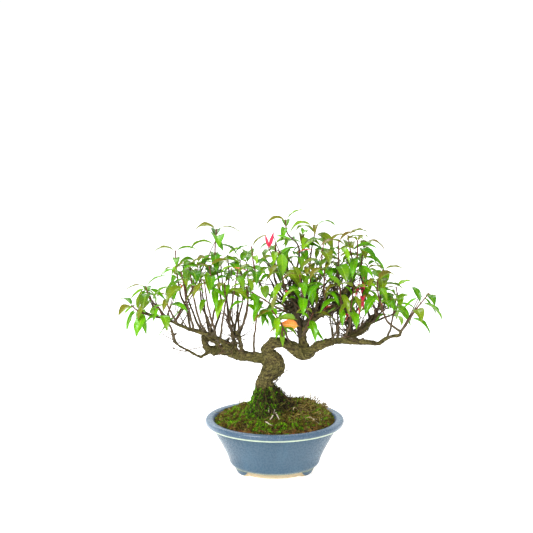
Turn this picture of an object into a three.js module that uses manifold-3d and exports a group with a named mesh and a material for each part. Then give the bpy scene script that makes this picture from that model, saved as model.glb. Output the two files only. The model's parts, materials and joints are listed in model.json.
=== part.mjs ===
import * as THREE from 'three';
import { mergeVertices } from 'three/addons/utils/BufferGeometryUtils.js';
import Module from 'manifold-3d';

// A star jasmine grown as a bonsai, with its oval glazed pot. Millimetres, +Z up, the front faces -Y.

// Pot
const potHalfWidth = 89;
const potDepthRatio = 0.78;
const potSegments = 28;
const potWall = 6;
const potFloorTop = 9;
const baseBandUnderside = 2;
const footAngle = 29;
const footHalfSpread = 15;
const drainOffset = 24;
const drainRadius = 5.5;

// Soil and the clearances between pieces
const seatGap = 0.3;
const soilWallGap = 0.48;
const leafClearance = 0.35;
const soilReach = 77;
const soilEdgeHeight = 66;
const soilDome = 13;
const soilTilt = 0.28;
const soilRoughness = 1.6;
const soilMound = 9;
const moundReach = 26;
const stockCentre = [-12, 0];
const mossBanks = [[36, 30, 4.5, 26], [8, -2, 9, 17]];
const stockDepth = 52;
const soilSeed = 7;

// Leaves and stems
const leafPairSpacing = 10;
const leafGrowth = 1.13;
const youngLeafShare = 0.88;
const leafSlenderness = 0.19;
const bladeThickness = 0.8;
const leafStations = [0.04, 0.4, 0.72, 1];
const leafShape = [1, 0.72];
const leafSteps = 25;
const stemSides = 4;
const stemBaseRadius = 1.7;
const stemTipRadius = 0.95;
const stemStep = 18;
const topPairDown = 1.7;
const leafRootHalfHeight = 1.1;
const leafRootHalfWidth = 1.2;

const up = new THREE.Vector3(0, 0, 1);
const rad = THREE.MathUtils.degToRad;
const wasm = await Module();
wasm.setup();

// One repeatable draw between 0 and 1 for each pair of whole numbers
function draw(seed, index) {
  const value = Math.sin(seed * 12.9898 + index * 78.233) * 43758.5453;
  return value - Math.floor(value);
}

// A closed solid from a three.js geometry
function solidOf(geometry) {
  const bare = geometry.clone();
  bare.deleteAttribute('normal');
  bare.deleteAttribute('uv');
  const merged = mergeVertices(bare, 1e-4);
  const corners = merged.index.array;
  const triangles = [];
  for (let i = 0; i < corners.length; i += 3) {
    const [a, b, c] = [corners[i], corners[i + 1], corners[i + 2]];
    if (a !== b && b !== c && c !== a) {
      triangles.push(a, b, c);
    }
  }
  const made = (order) => new wasm.Manifold(new wasm.Mesh({
    numProp: 3,
    vertProperties: new Float32Array(merged.attributes.position.array),
    triVerts: new Uint32Array(order),
  }));
  const solid = made(triangles);
  return solid.volume() > 0 ? solid : made(triangles.reverse());
}

function geometryOf(solid) {
  const mesh = solid.getMesh();
  const geometry = new THREE.BufferGeometry();
  geometry.setAttribute('position', new THREE.BufferAttribute(new Float32Array(mesh.vertProperties), 3));
  geometry.setIndex(new THREE.BufferAttribute(new Uint32Array(mesh.triVerts), 1));
  geometry.computeVertexNormals();
  return geometry;
}

// A closed skin over rings of points; a ring of one point closes the end to a tip
function skin(rings) {
  const positions = [];
  const starts = [];
  for (const ring of rings) {
    starts.push(positions.length / 3);
    for (const point of ring) {
      positions.push(point.x, point.y, point.z);
    }
  }
  const faces = [];
  for (let k = 0; k + 1 < rings.length; k += 1) {
    const lower = rings[k].length;
    const upper = rings[k + 1].length;
    const count = Math.max(lower, upper);
    for (let i = 0; i < count; i += 1) {
      const next = (i + 1) % count;
      const a = starts[k] + (lower > 1 ? i : 0);
      const b = starts[k] + (lower > 1 ? next : 0);
      const c = starts[k + 1] + (upper > 1 ? next : 0);
      const d = starts[k + 1] + (upper > 1 ? i : 0);
      if (lower > 1) {
        faces.push(a, b, c);
      }
      if (upper > 1) {
        faces.push(a, c, d);
      }
    }
  }
  const first = rings[0].length;
  for (let i = 1; i + 1 < first; i += 1) {
    faces.push(0, i + 1, i);
  }
  const last = rings[rings.length - 1].length;
  const end = starts[rings.length - 1];
  for (let i = 1; i + 1 < last; i += 1) {
    faces.push(end, end + i, end + i + 1);
  }
  const geometry = new THREE.BufferGeometry();
  geometry.setAttribute('position', new THREE.Float32BufferAttribute(positions, 3));
  geometry.setIndex(faces);
  return geometry;
}

function ovalRing(halfWidth, height, segments = potSegments) {
  return Array.from({ length: segments }, (_, i) => {
    const turn = (i / segments) * 2 * Math.PI;
    return new THREE.Vector3(
      halfWidth * Math.cos(turn),
      halfWidth * potDepthRatio * Math.sin(turn),
      height,
    );
  });
}

// Outer wall from the foot ring up to the lip, as half width and height
const potOutside = [
  [49, baseBandUnderside],
  [49.5, 7],
  [52, 7.4],
  [57, 10.5],
  [60, 18.5],
  [64.5, 29],
  [71.5, 43],
  [78, 55],
  [80, 60],
  [84, 61.5],
  [88, 63.5],
  [potHalfWidth, 67],
  [87.3, 70.2],
  [83.5, 71],
];
// Inner wall from the lip down to the floor
const potInside = [
  [79, 69.6],
  [76.8, 66.3],
  [80 - potWall, 60],
  [71.5 - potWall, 43],
  [64.5 - potWall, 29],
  [60 - potWall, 18.5],
  [50, 12],
  [46.5, potFloorTop],
];

function makePot() {
  const profile = [[0, baseBandUnderside], ...potOutside, ...potInside, [0, potFloorTop]];
  const points = profile.map(([halfWidth, height]) => new THREE.Vector2(halfWidth, height));
  const body = new THREE.LatheGeometry(points, potSegments);
  body.rotateX(Math.PI / 2);
  body.scale(1, potDepthRatio, 1);
  let pot = solidOf(body);
  for (const corner of [footAngle, 180 - footAngle, 180 + footAngle, 360 - footAngle]) {
    pot = pot.add(solidOf(potFoot(corner)));
  }
  for (const side of [-1, 1]) {
    const drain = new THREE.CylinderGeometry(drainRadius, drainRadius, 2 * potFloorTop, 12);
    drain.rotateX(Math.PI / 2);
    drain.translate(side * drainOffset, 0, potFloorTop);
    pot = pot.subtract(solidOf(drain));
  }
  return pot;
}

// A low foot that carries the taper of the wall on to the ground
function potFoot(corner) {
  const spread = [-1, -0.33, 0.33, 1];
  const level = (height, outer, inner, reach) => {
    const at = (step, halfWidth) => {
      const turn = rad(corner + step * reach);
      return new THREE.Vector3(
        halfWidth * Math.cos(turn),
        halfWidth * potDepthRatio * Math.sin(turn),
        height,
      );
    };
    return [
      ...spread.map((step) => at(step, outer)),
      ...spread.map((step) => at(-step, inner)),
    ];
  };
  return skin([
    level(0, 51, 40, footHalfSpread),
    level(5, 53, 39, footHalfSpread + 2),
    level(8.6, 54.2, 40, footHalfSpread + 4),
  ]);
}

// The root stock: the flared foot of the trunk and the roots under it, as height, centre and radius
const stockLevels = [
  [stockDepth, -11, 0, 15],
  [70, -11, 0, 19],
  [82, -10, 0, 22.5],
  [90, -10, 0, 20.5],
  [97, -11.5, 0, 16.8],
  [104, -13.5, 0, 12.6],
  [112, -14, 0, 9.8],
  [121, -13, -1, 9.2],
];
const stockSides = 14;
const rootLobes = 5;
const lobeDepth = 0.11;
const lobeFade = 24;

function rootStock(grow) {
  const topLevel = stockLevels[stockLevels.length - 1][0];
  const rings = stockLevels.map(([height, x, y, radius]) => {
    const lobe = lobeDepth * Math.min(1, (topLevel - height) / lobeFade);
    return Array.from({ length: stockSides }, (_, i) => {
      const turn = (i / stockSides) * 2 * Math.PI;
      const reach = radius * (1 + lobe * Math.cos(rootLobes * turn + 0.6)) + grow;
      const sunk = height === stockDepth ? grow : 0;
      return new THREE.Vector3(x + reach * Math.cos(turn), y + reach * Math.sin(turn), height - sunk);
    });
  });
  return solidOf(skin(rings));
}

function soilHeight(x, y) {
  const reach = Math.min(1, Math.hypot(x, y / potDepthRatio) / soilReach);
  const off = Math.hypot(x - stockCentre[0], y - stockCentre[1]) / moundReach;
  const dome = soilDome * (1 - reach ** 4) * (1 + soilTilt * (x / soilReach));
  const mound = soilMound * Math.exp(-off * off);
  const banks = mossBanks.reduce((sum, [bankX, bankY, rise, wide]) => (
    sum + rise * Math.exp(-(((x - bankX) / wide) ** 2) - ((y - bankY) / wide) ** 2)
  ), 0);
  return soilEdgeHeight + dome + mound + banks;
}

function makeSoil() {
  const rings = [[new THREE.Vector3(0, 0, potFloorTop + seatGap)]];
  const wall = potInside.slice(1).reverse();
  for (const [halfWidth, height] of wall) {
    const raised = height === potFloorTop ? seatGap : 0;
    rings.push(ovalRing(halfWidth - soilWallGap, height + raised));
  }
  for (const share of [0.92, 0.72, 0.52, 0.36]) {
    const ring = ovalRing(soilReach * share, 0);
    ring.forEach((point, i) => {
      point.z = soilHeight(point.x, point.y) + soilRoughness * (draw(soilSeed, i + 100 * share) - 0.5);
    });
    rings.push(ring);
  }
  rings.push([new THREE.Vector3(0, 0, soilHeight(0, 0))]);
  return solidOf(skin(rings)).subtract(rootStock(seatGap));
}

// Centre lines of the wood: x, y, z and radius
const limbs = {
  trunkAndRight: [
    [-13, -1, 112, 9.6], [-13, -1, 120, 9.4], [-8, -2, 129, 10.4], [-2, -3, 138, 12.2],
    [-1, -4, 148, 11.4], [-7, -5, 156, 8.4], [-10, -6, 162, 6.6], [-7, -7, 168, 6.5],
    [-1, -8, 173, 6.2], [7, -8, 174, 6.1], [15, -7, 171, 6.2], [24, -5, 165, 6.6],
    [32, -3, 158, 7.2], [38, -2, 156, 7.2], [45, -2, 159, 6.3], [53, -3, 166, 5.3],
    [62, -4, 171, 4.9], [73, -6, 174, 4.4], [85, -8, 176, 4.1], [97, -10, 175, 3.8],
    [110, -12, 175, 3.2], [121, -14, 175, 2.9], [130, -15, 174, 2.8], [138, -16, 180, 2.3],
    [147, -17, 184, 2.1], [156, -18, 186, 2], [158, -18, 192, 1.7],
  ],
  rightRiser: [
    [85, -8, 176, 3.4], [98, -4, 181, 3.6], [108, 2, 185, 3.7],
    [116, 8, 191, 3.7], [124, 13, 197, 3.5], [130, 16, 203, 3],
  ],
  secondTrunk: [
    [37, -2, 157, 6.4], [36, 2, 167, 6.1], [35, 5, 178, 5.6], [32, 8, 189, 4.6],
    [29, 11, 202, 3.7], [28, 13, 213, 3.2], [29, 15, 224, 2.9], [27, 17, 234, 2.6],
    [24, 20, 243, 2.3],
  ],
  secondRight: [
    [35, 5, 181, 4.8], [42, 2, 194, 3.8], [51, -2, 204, 3.5], [61, -5, 211, 3.5],
    [70, -7, 217, 3.6], [79, -8, 222, 3.8], [83, -8, 232, 3.9], [88, -8, 240, 4.1],
    [93, -8, 247, 3.4],
  ],
  fan: [[29, 11, 204, 3], [24, 12, 207, 2.4], [18, 13, 211, 2.1]],
  middleBack: [[30, 10, 198, 3.2], [26, 24, 212, 2.8], [16, 36, 226, 2.3]],
  left: [
    [-4, -2, 145, 7], [-9, 0, 147, 7.1], [-16, 1, 150, 6.4], [-26, 2, 151, 5.7],
    [-37, 3, 152, 5.9], [-47, 4, 153, 5.9], [-57, 5, 156, 6], [-67, 6, 159, 5.8],
    [-77, 6, 159, 5.3], [-85, 5, 162, 4.6], [-89, 3, 171, 3.8], [-89, 1, 180, 3.2],
  ],
  leftFar: [
    [-55, 4, 160, 4.4], [-62, 2, 168, 3.8], [-69, -2, 175, 3.2], [-78, -6, 182, 3],
    [-87, -9, 186, 3], [-97, -11, 189, 2.8], [-106, -13, 192, 2.5], [-116, -15, 196, 2.3],
    [-126, -17, 202, 2], [-136, -19, 207, 1.7], [-146, -21, 210, 1.5],
  ],
  leftKnot: [
    [-44, 4, 156, 4], [-56, 10, 165, 3.9], [-68, 10, 171, 3.7], [-80, 6, 172, 3.4],
    [-89, 2, 176, 3],
  ],
  leftLoop: [[-74, 5, 162, 3.4], [-72, -3, 169, 3.1], [-80, -6, 176, 2.8], [-88, -6, 184, 2.6]],
  leftRiser: [[-53, 3, 157, 4.2], [-51, 0, 172, 3.8], [-53, -2, 180, 3.7], [-54, -3, 187, 3.1]],
  leftSmallRiser: [[-42, 2, 156, 3.6], [-43, -3, 170, 2.9], [-45, -5, 180, 2.7], [-48, -6, 187, 2.8]],
  leftBack: [[-40, 4, 153, 4], [-44, 20, 164, 3.1], [-52, 34, 178, 2.5]],
  leftLow: [
    [-82, 4, 159, 2.6], [-90, 1, 154, 1.9], [-94, 0, 152, 1.8], [-101, -3, 156, 1.6],
    [-109, -6, 162, 1.6], [-116, -8, 166, 1.5], [-122, -10, 171, 1.5], [-127, -12, 179, 1.5],
    [-130, -14, 190, 1.4],
  ],
  leftLowStub: [[-109, -6, 162, 1.3], [-114, -7, 161, 0.9]],
  rightBack: [[92, -9, 175, 3.6], [97, 10, 184, 2.8], [94, 28, 196, 2.3]],
};

// A round limb of changing thickness along a smooth line
function limbSolid(line, sides, step, rough, seed) {
  const points = line.map(([x, y, z]) => new THREE.Vector3(x, y, z));
  const curve = new THREE.CatmullRomCurve3(points, false, 'centripetal');
  const count = Math.max(2, Math.round(curve.getLength() / step));
  const rings = [];
  let side = null;
  for (let k = 0; k <= count; k += 1) {
    const share = k / count;
    const centre = curve.getPoint(share);
    const ahead = curve.getTangent(share);
    side = side ?? new THREE.Vector3(1, 0.3, 0.2);
    side = side.clone().addScaledVector(ahead, -side.dot(ahead)).normalize();
    const across = new THREE.Vector3().crossVectors(ahead, side);
    const place = share * (line.length - 1);
    const from = Math.min(line.length - 2, Math.floor(place));
    const radius = THREE.MathUtils.lerp(line[from][3], line[from + 1][3], place - from);
    rings.push(Array.from({ length: sides }, (_, i) => {
      const turn = (i / sides) * 2 * Math.PI;
      const reach = radius * (1 + rough * (draw(seed, k * sides + i) - 0.5));
      return centre.clone()
        .addScaledVector(side, reach * Math.cos(turn))
        .addScaledVector(across, reach * Math.sin(turn));
    }));
  }
  return solidOf(skin(rings));
}

// Facets of the wood, from the thickest limbs to the thinnest: sides around, and steps along
const limbSides = { trunk: 8, thick: 7, thin: 5 };
const limbStep = { trunk: 8, thick: 8, thin: 11 };
const thickFrom = 4;
const barkRoughness = 0.14;

function makeTree() {
  let tree = rootStock(0);
  Object.entries(limbs).forEach(([name, line], index) => {
    const branchSize = line[0][3] > thickFrom ? 'thick' : 'thin';
    const size = name === 'trunkAndRight' ? 'trunk' : branchSize;
    tree = tree.add(limbSolid(line, limbSides[size], limbStep[size], barkRoughness, index + 1));
  });
  return tree;
}

// Leafy shoots: the line of each stem from the wood to its tip, how many pairs of leaves it carries,
// the length of a grown leaf, and how far its first pair is turned about the stem
const shoots = {
  left_01: {
    pairs: 3, leaf: 31, turn: 0,
    stem: [[-131, -18, 204], [-148, -22, 225], [-155, -24, 236], [-160, -26, 251]],
  },
  left_02: {
    pairs: 2, leaf: 28, turn: 30,
    stem: [[-136, -19, 207], [-143, -10, 215], [-149, -2, 222], [-151, 4, 230]],
  },
  left_03: {
    pairs: 2, leaf: 28, turn: 70,
    stem: [[-122, -16, 200], [-128, -26, 216], [-132, -34, 228], [-130, -38, 238]],
  },
  left_04: {
    pairs: 3, leaf: 30, turn: 80,
    stem: [[-146, -21, 210], [-162, -23, 215], [-169, -24, 218], [-178, -25, 226]],
  },
  left_05: {
    pairs: 4, leaf: 27, turn: 0,
    stem: [
      [-106, -13, 193], [-111, -10, 219], [-117, -8, 233],
      [-121, -6, 253], [-123, -4, 269], [-124, -3, 291],
    ],
  },
  left_06: {
    pairs: 3, leaf: 28, turn: 20,
    stem: [[-102, -12, 191], [-106, -20, 213], [-110, -28, 235], [-112, -33, 254], [-115, -36, 272]],
  },
  left_07: {
    pairs: 3, leaf: 30, turn: 60,
    stem: [[-92, -10, 188], [-103, -2, 210], [-110, 6, 228], [-114, 11, 246], [-116, 16, 266]],
  },
  left_08: {
    pairs: 3, leaf: 29, turn: 15,
    stem: [[-86, -9, 186], [-94, -13, 202], [-99, -18, 224], [-103, -22, 253], [-105, -24, 279]],
  },
  left_09: {
    pairs: 3, leaf: 29, turn: 45,
    stem: [[-78, -6, 182], [-84, -2, 201], [-92, 4, 219], [-95, 10, 244], [-98, 15, 272]],
  },
  left_10: {
    pairs: 4, leaf: 32, turn: 10,
    stem: [[-82, -8, 184], [-77, -12, 209], [-74, -16, 228], [-77, -19, 247], [-81, -22, 275]],
  },
  left_11: {
    pairs: 6, leaf: 33, turn: 0,
    stem: [[-77, -6, 182], [-73, -1, 198], [-68, 3, 217], [-70, 6, 244], [-75, 8, 282], [-73, 8, 316]],
  },
  left_12: {
    pairs: 3, leaf: 28, turn: 30,
    stem: [[-52, 1, 172], [-58, 12, 192], [-61, 18, 218], [-58, 21, 250], [-60, 22, 280]],
  },
  left_13: {
    pairs: 3, leaf: 31, turn: 75,
    stem: [[-69, -2, 175], [-66, -14, 200], [-62, -22, 226], [-62, -27, 255]],
  },
  left_14: {
    pairs: 3, leaf: 30, turn: 20,
    stem: [[-54, -3, 186], [-57, -8, 201], [-54, -11, 223], [-49, -14, 250], [-46, -16, 270]],
  },
  left_15: {
    pairs: 3, leaf: 29, turn: 50,
    stem: [[-52, -1, 178], [-48, 10, 201], [-46, 18, 226], [-43, 22, 249], [-44, 24, 272]],
  },
  left_16: {
    pairs: 3, leaf: 29, turn: 0,
    stem: [[-44, -4, 176], [-46, 4, 200], [-41, 6, 222], [-38, 8, 250]],
  },
  left_17: {
    pairs: 3, leaf: 29, turn: 35,
    stem: [[-48, -6, 186], [-39, -12, 201], [-34, -18, 220], [-35, -22, 250]],
  },
  left_18: {
    pairs: 2, leaf: 28, turn: 40,
    stem: [[-126, -12, 177], [-131, -24, 200], [-139, -31, 214], [-144, -35, 226]],
  },
  left_19: {
    pairs: 3, leaf: 29, turn: 10,
    stem: [[-52, 34, 178], [-60, 42, 205], [-67, 47, 236], [-70, 49, 268]],
  },
  left_20: {
    pairs: 3, leaf: 29, turn: 55,
    stem: [[-47, 25, 169], [-38, 38, 195], [-34, 44, 225], [-36, 47, 265]],
  },
  left_21: {
    pairs: 3, leaf: 28, turn: 25,
    stem: [[-82, 6, 168], [-88, 22, 200], [-93, 32, 230], [-96, 36, 262]],
  },
  left_22: {
    pairs: 3, leaf: 28, turn: 65,
    stem: [[-74, -4, 179], [-78, -26, 205], [-83, -38, 232], [-86, -45, 260]],
  },
  middle_01: {
    pairs: 5, leaf: 30, turn: 20,
    stem: [[18, 13, 211], [5, 4, 223], [-11, -4, 238], [-21, -10, 255], [-27, -12, 279], [-29, -12, 298]],
  },
  middle_02: {
    pairs: 5, leaf: 31, turn: 0,
    stem: [[23, 12, 207], [10, 20, 228], [0, 23, 246], [0, 20, 272], [1, 17, 297]],
  },
  middle_03: {
    pairs: 4, leaf: 31, turn: 60,
    stem: [[28, 12, 213], [19, 2, 232], [11, -8, 251], [8, -14, 275]],
  },
  middle_04: {
    pairs: 3, leaf: 28, turn: 10,
    stem: [[29, 10, 199], [14, -4, 212], [-4, -16, 225], [-18, -20, 235], [-29, -24, 243]],
  },
  middle_05: {
    pairs: 6, leaf: 31, turn: 0,
    stem: [[24, 20, 243], [28, 18, 264], [31, 16, 285], [28, 15, 296], [16, 14, 309], [13, 13, 327]],
  },
  middle_06: {
    pairs: 4, leaf: 29, turn: 50,
    stem: [[29, 12, 212], [38, 18, 236], [44, 24, 268], [48, 22, 296], [53, 18, 319]],
  },
  middle_07: {
    pairs: 5, leaf: 30, turn: 15,
    stem: [[52, -2, 205], [53, -10, 235], [57, -16, 265], [58, -18, 288], [60, -18, 305]],
  },
  middle_08: {
    pairs: 4, leaf: 31, turn: 70,
    stem: [[30, 10, 200], [42, -2, 226], [44, -10, 249], [43, -14, 272]],
  },
  middle_09: {
    pairs: 2, leaf: 28, turn: 0,
    stem: [[20, -6, 168], [12, -20, 192], [5, -28, 208], [-4, -32, 222]],
  },
  middle_10: {
    pairs: 1, leaf: 22, turn: 0,
    stem: [[12, -8, 172], [9, -18, 185], [9, -26, 197]],
  },
  middle_11: {
    pairs: 2, leaf: 31, turn: 20,
    stem: [[36, 4, 176], [38, -14, 192], [42, -24, 204], [47, -30, 218]],
  },
  middle_12: {
    pairs: 3, leaf: 30, turn: 0,
    stem: [[36, 3, 174], [28, 6, 190], [17, 5, 206], [9, 1, 222]],
  },
  middle_13: {
    pairs: 2, leaf: 25, turn: 40,
    stem: [[-26, 1, 152], [-26, -4, 180], [-23, -8, 204], [-20, -9, 222]],
  },
  middle_14: {
    pairs: 4, leaf: 29, turn: 30,
    stem: [[16, 36, 226], [8, 44, 248], [3, 46, 268], [1, 46, 290]],
  },
  middle_15: {
    pairs: 4, leaf: 29, turn: 65,
    stem: [[22, 30, 218], [31, 40, 245], [35, 44, 275], [35, 45, 302]],
  },
  middle_16: {
    pairs: 4, leaf: 30, turn: 10,
    stem: [[46, 0, 198], [41, -20, 216], [34, -32, 240], [30, -38, 268]],
  },
  middle_17: {
    pairs: 4, leaf: 30, turn: 45,
    stem: [[61, -5, 211], [62, -26, 232], [60, -38, 252], [60, -42, 276]],
  },
  right_01: {
    pairs: 4, leaf: 29, turn: 0,
    stem: [[92, -8, 246], [98, -2, 269], [94, 2, 291], [91, 4, 309]],
  },
  right_02: {
    pairs: 5, leaf: 31, turn: 20,
    stem: [[80, -8, 225], [77, -18, 255], [78, -24, 280], [78, -26, 308]],
  },
  right_03: {
    pairs: 5, leaf: 31, turn: 0,
    stem: [[121, 11, 194], [116, 14, 222], [110, 12, 250], [109, 7, 275], [113, 4, 302]],
  },
  right_04: {
    pairs: 4, leaf: 29, turn: 60,
    stem: [[86, -8, 237], [97, -18, 262], [101, -22, 286], [101, -24, 308]],
  },
  right_05: {
    pairs: 4, leaf: 31, turn: 0,
    stem: [[130, 16, 203], [133, 6, 227], [132, 0, 247], [135, -4, 267]],
  },
  right_06: {
    pairs: 4, leaf: 30, turn: 35,
    stem: [[158, -18, 190], [141, -20, 204], [132, -24, 225], [127, -28, 243], [126, -30, 259]],
  },
  right_07: {
    pairs: 4, leaf: 30, turn: 70,
    stem: [[158, -18, 191], [164, -18, 200], [176, -17, 219], [189, -16, 236]],
  },
  right_08: {
    pairs: 4, leaf: 28, turn: 10,
    stem: [[117, 8, 192], [138, 20, 197], [153, 24, 203], [158, 25, 217], [155, 26, 237]],
  },
  right_09: {
    pairs: 3, leaf: 28, turn: 50,
    stem: [[141, -16, 181], [146, -8, 194], [149, -4, 209], [152, -2, 226]],
  },
  right_10: {
    pairs: 4, leaf: 29, turn: 15,
    stem: [[86, -8, 176], [93, -18, 197], [94, -26, 222], [97, -33, 252]],
  },
  right_11: {
    pairs: 3, leaf: 29, turn: 55,
    stem: [[103, -1, 183], [105, -8, 207], [108, -12, 230], [112, -14, 250]],
  },
  right_12: {
    pairs: 4, leaf: 29, turn: 25,
    stem: [[71, -6, 174], [80, -16, 199], [82, -26, 222], [79, -34, 254]],
  },
  right_13: {
    pairs: 4, leaf: 29, turn: 0,
    stem: [[94, 28, 196], [86, 40, 222], [82, 44, 248], [82, 45, 272]],
  },
  right_14: {
    pairs: 4, leaf: 29, turn: 45,
    stem: [[97, 19, 190], [112, 32, 218], [118, 38, 240], [119, 41, 262]],
  },
};

// Old leaves that have turned colour before they fall. Each stands on the wood or on a shoot's stem;
// a leaf has a start direction, a length, a droop and a roll about its midrib in degrees.
const oldLeaves = {
  old_leaf_orange: {
    carrier: 'tree',
    stem: [[33, 7, 189], [33, -1, 192], [31, -6, 194]],
    leaves: [{ start: [-1, -0.2, 0.25], length: 27, droop: 0.15, roll: -62 }],
  },
  old_leaves_red_top: {
    carrier: 'middle_02',
    stem: [[0, 19, 270], [-4, 18, 280], [-8, 17, 290]],
    leaves: [
      { start: [-0.25, -0.1, 1], length: 20, droop: 0, roll: 60 },
      { start: [0.3, 0.1, 1], length: 23, droop: 0, roll: 75 },
    ],
  },
  old_leaves_red_right: {
    carrier: 'right_03',
    stem: [[111, 8, 262], [107, -1, 256], [106, -5, 250]],
    leaves: [
      { start: [0.3, -0.2, -1], length: 24, droop: 0.3, roll: 30 },
      { start: [-0.35, -0.3, -1], length: 21, droop: 0.3, roll: -40 },
    ],
  },
};

function nearestOnWood(point) {
  let best = { gap: Infinity };
  for (const line of Object.values(limbs)) {
    for (let i = 0; i + 1 < line.length; i += 1) {
      const a = new THREE.Vector3(...line[i].slice(0, 3));
      const b = new THREE.Vector3(...line[i + 1].slice(0, 3));
      const close = new THREE.Line3(a, b).closestPointToPoint(point, true, new THREE.Vector3());
      const gap = close.distanceTo(point);
      if (gap < best.gap) {
        best = { gap, close };
      }
    }
  }
  return best.close;
}

function stemCurve(line, onWood) {
  const points = line.map((point) => new THREE.Vector3(...point));
  if (onWood) {
    points[0] = nearestOnWood(points[0]);
  }
  return new THREE.CatmullRomCurve3(points, false, 'centripetal');
}

function trianglesOf(solid) {
  const { vertProperties, triVerts } = solid.getMesh();
  const corner = (i) => new THREE.Vector3().fromArray(vertProperties, 3 * triVerts[i]);
  const triangles = [];
  for (let i = 0; i < triVerts.length; i += 3) {
    triangles.push(new THREE.Triangle(corner(i), corner(i + 1), corner(i + 2)));
  }
  return triangles;
}

function stemRadius(share) {
  return THREE.MathUtils.lerp(stemBaseRadius, stemTipRadius, share);
}

function stemRing(curve, share, turned) {
  const centre = curve.getPointAt(share);
  const ahead = curve.getTangentAt(share);
  const side = new THREE.Vector3(0, 1, 0).cross(ahead).normalize();
  const across = new THREE.Vector3().crossVectors(ahead, side);
  return Array.from({ length: stemSides }, (_, i) => {
    const turn = rad(turned) + ((i + 0.5) / stemSides) * 2 * Math.PI;
    return centre.clone()
      .addScaledVector(side, stemRadius(share) * Math.cos(turn))
      .addScaledVector(across, stemRadius(share) * Math.sin(turn));
  });
}

// Where the stem's foot stands a seat gap clear of what carries it, as a share of its length. Only the
// lowest stretch of the stem and the triangles within reach of it are searched.
const seatSearch = 45;
const seatReach = 14;

function seatOf(curve, turned, carrierTriangles) {
  const length = curve.getLength();
  const searched = Math.min(1, seatSearch / length);
  const along = Array.from({ length: 12 }, (_, i) => curve.getPointAt((searched * i) / 11));
  const centre = new THREE.Vector3();
  const near = carrierTriangles.filter((triangle) => {
    triangle.getMidpoint(centre);
    return along.some((point) => point.distanceTo(centre) < seatReach);
  });
  const close = new THREE.Vector3();
  const clearance = (share) => {
    const ring = stemRing(curve, share, turned);
    const between = ring.map((point, i) => point.clone().lerp(ring[(i + 1) % stemSides], 0.5));
    const tested = [...ring, ...between, curve.getPointAt(share)];
    let least = Infinity;
    for (const point of tested) {
      for (const triangle of near) {
        triangle.closestPointToPoint(point, close);
        least = Math.min(least, close.distanceTo(point));
      }
    }
    return least;
  };
  let share = searched;
  const walk = (stride) => {
    while (share > 0 && clearance(share) > seatGap) {
      share -= stride / length;
    }
  };
  walk(1);
  share = Math.min(1, share + 1 / length);
  walk(0.1);
  return Math.max(0, share + 0.1 / length);
}

// The midrib of a leaf leaves the stem along its start direction and is bent down by its own weight
function midribOf(base, start, length, droop) {
  const points = [base.clone()];
  const heading = start.clone().normalize();
  for (let k = 0; k < leafSteps; k += 1) {
    heading.z -= droop / leafSteps;
    heading.normalize();
    points.push(points[k].clone().addScaledVector(heading, length / leafSteps));
  }
  return points;
}

// The cross sections of a leaf blade as rings of four points, and its tip; a margin makes it larger
function leafRings(leaf, margin = 0) {
  const { base, start, length, droop, roll } = leaf;
  const midrib = midribOf(base, start, length, droop);
  const side = new THREE.Vector3().crossVectors(start, up).normalize();
  return leafStations.map((station, k) => {
    const index = Math.round(station * leafSteps);
    const point = midrib[index];
    const before = midrib[Math.max(0, index - 1)];
    const after = midrib[Math.min(leafSteps, index + 1)];
    const ahead = after.clone().sub(before).normalize();
    if (station === 1) {
      return [point.clone().addScaledVector(ahead, margin)];
    }
    const flat = side.clone().applyAxisAngle(ahead, rad(roll));
    const over = new THREE.Vector3().crossVectors(flat, ahead);
    const bladeHalfWidth = length * leafSlenderness * leafShape[k - 1];
    const width = (k === 0 ? leafRootHalfWidth : bladeHalfWidth) + margin;
    const rise = (k === 0 ? leafRootHalfHeight : bladeThickness / 2) + margin;
    return [[1, -1], [-1, -1], [-1, 1], [1, 1]].map(([across, upward]) => (
      point.clone().addScaledVector(flat, across * width).addScaledVector(over, upward * rise)
    ));
  });
}

// Where the pairs of leaves stand, from the tip down, as shares of the stem's length
function pairShares(shoot, curve, seed) {
  const length = curve.getLength();
  const shares = [];
  let down = topPairDown;
  for (let pair = 0; pair < shoot.pairs; pair += 1) {
    shares.push(1 - down / length);
    down += leafPairSpacing * (0.9 + 0.3 * draw(seed, pair + 100));
  }
  return shares;
}

// The leaves of a shoot: crossed pairs from the tip down, the youngest small and upright
function leafSlots(shoot, curve, seed) {
  const slots = [];
  pairShares(shoot, curve, seed).forEach((share, pair) => {
    const ahead = curve.getTangentAt(share);
    const side = new THREE.Vector3(0, 1, 0).cross(ahead).normalize();
    const across = new THREE.Vector3().crossVectors(ahead, side);
    for (const half of [0, 1]) {
      const index = 2 * pair + half;
      const young = pair === 0 ? youngLeafShare : 1;
      const rise = pair === 0 ? 44 : 34;
      slots.push({
        pair,
        half,
        base: curve.getPointAt(share),
        ahead,
        side,
        across,
        turn: shoot.turn + 90 * pair + 180 * half + 16 * (draw(seed, index) - 0.5),
        rise: rise + 18 * (draw(seed, index + 20) - 0.5),
        length: leafGrowth * shoot.leaf * young * (0.9 + 0.25 * draw(seed, index + 40)),
        droop: (pair === 0 ? 1.1 : 1.3) + draw(seed, index + 60),
        roll: 30 * (draw(seed, index + 80) - 0.5),
      });
    }
  });
  return slots;
}

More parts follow.
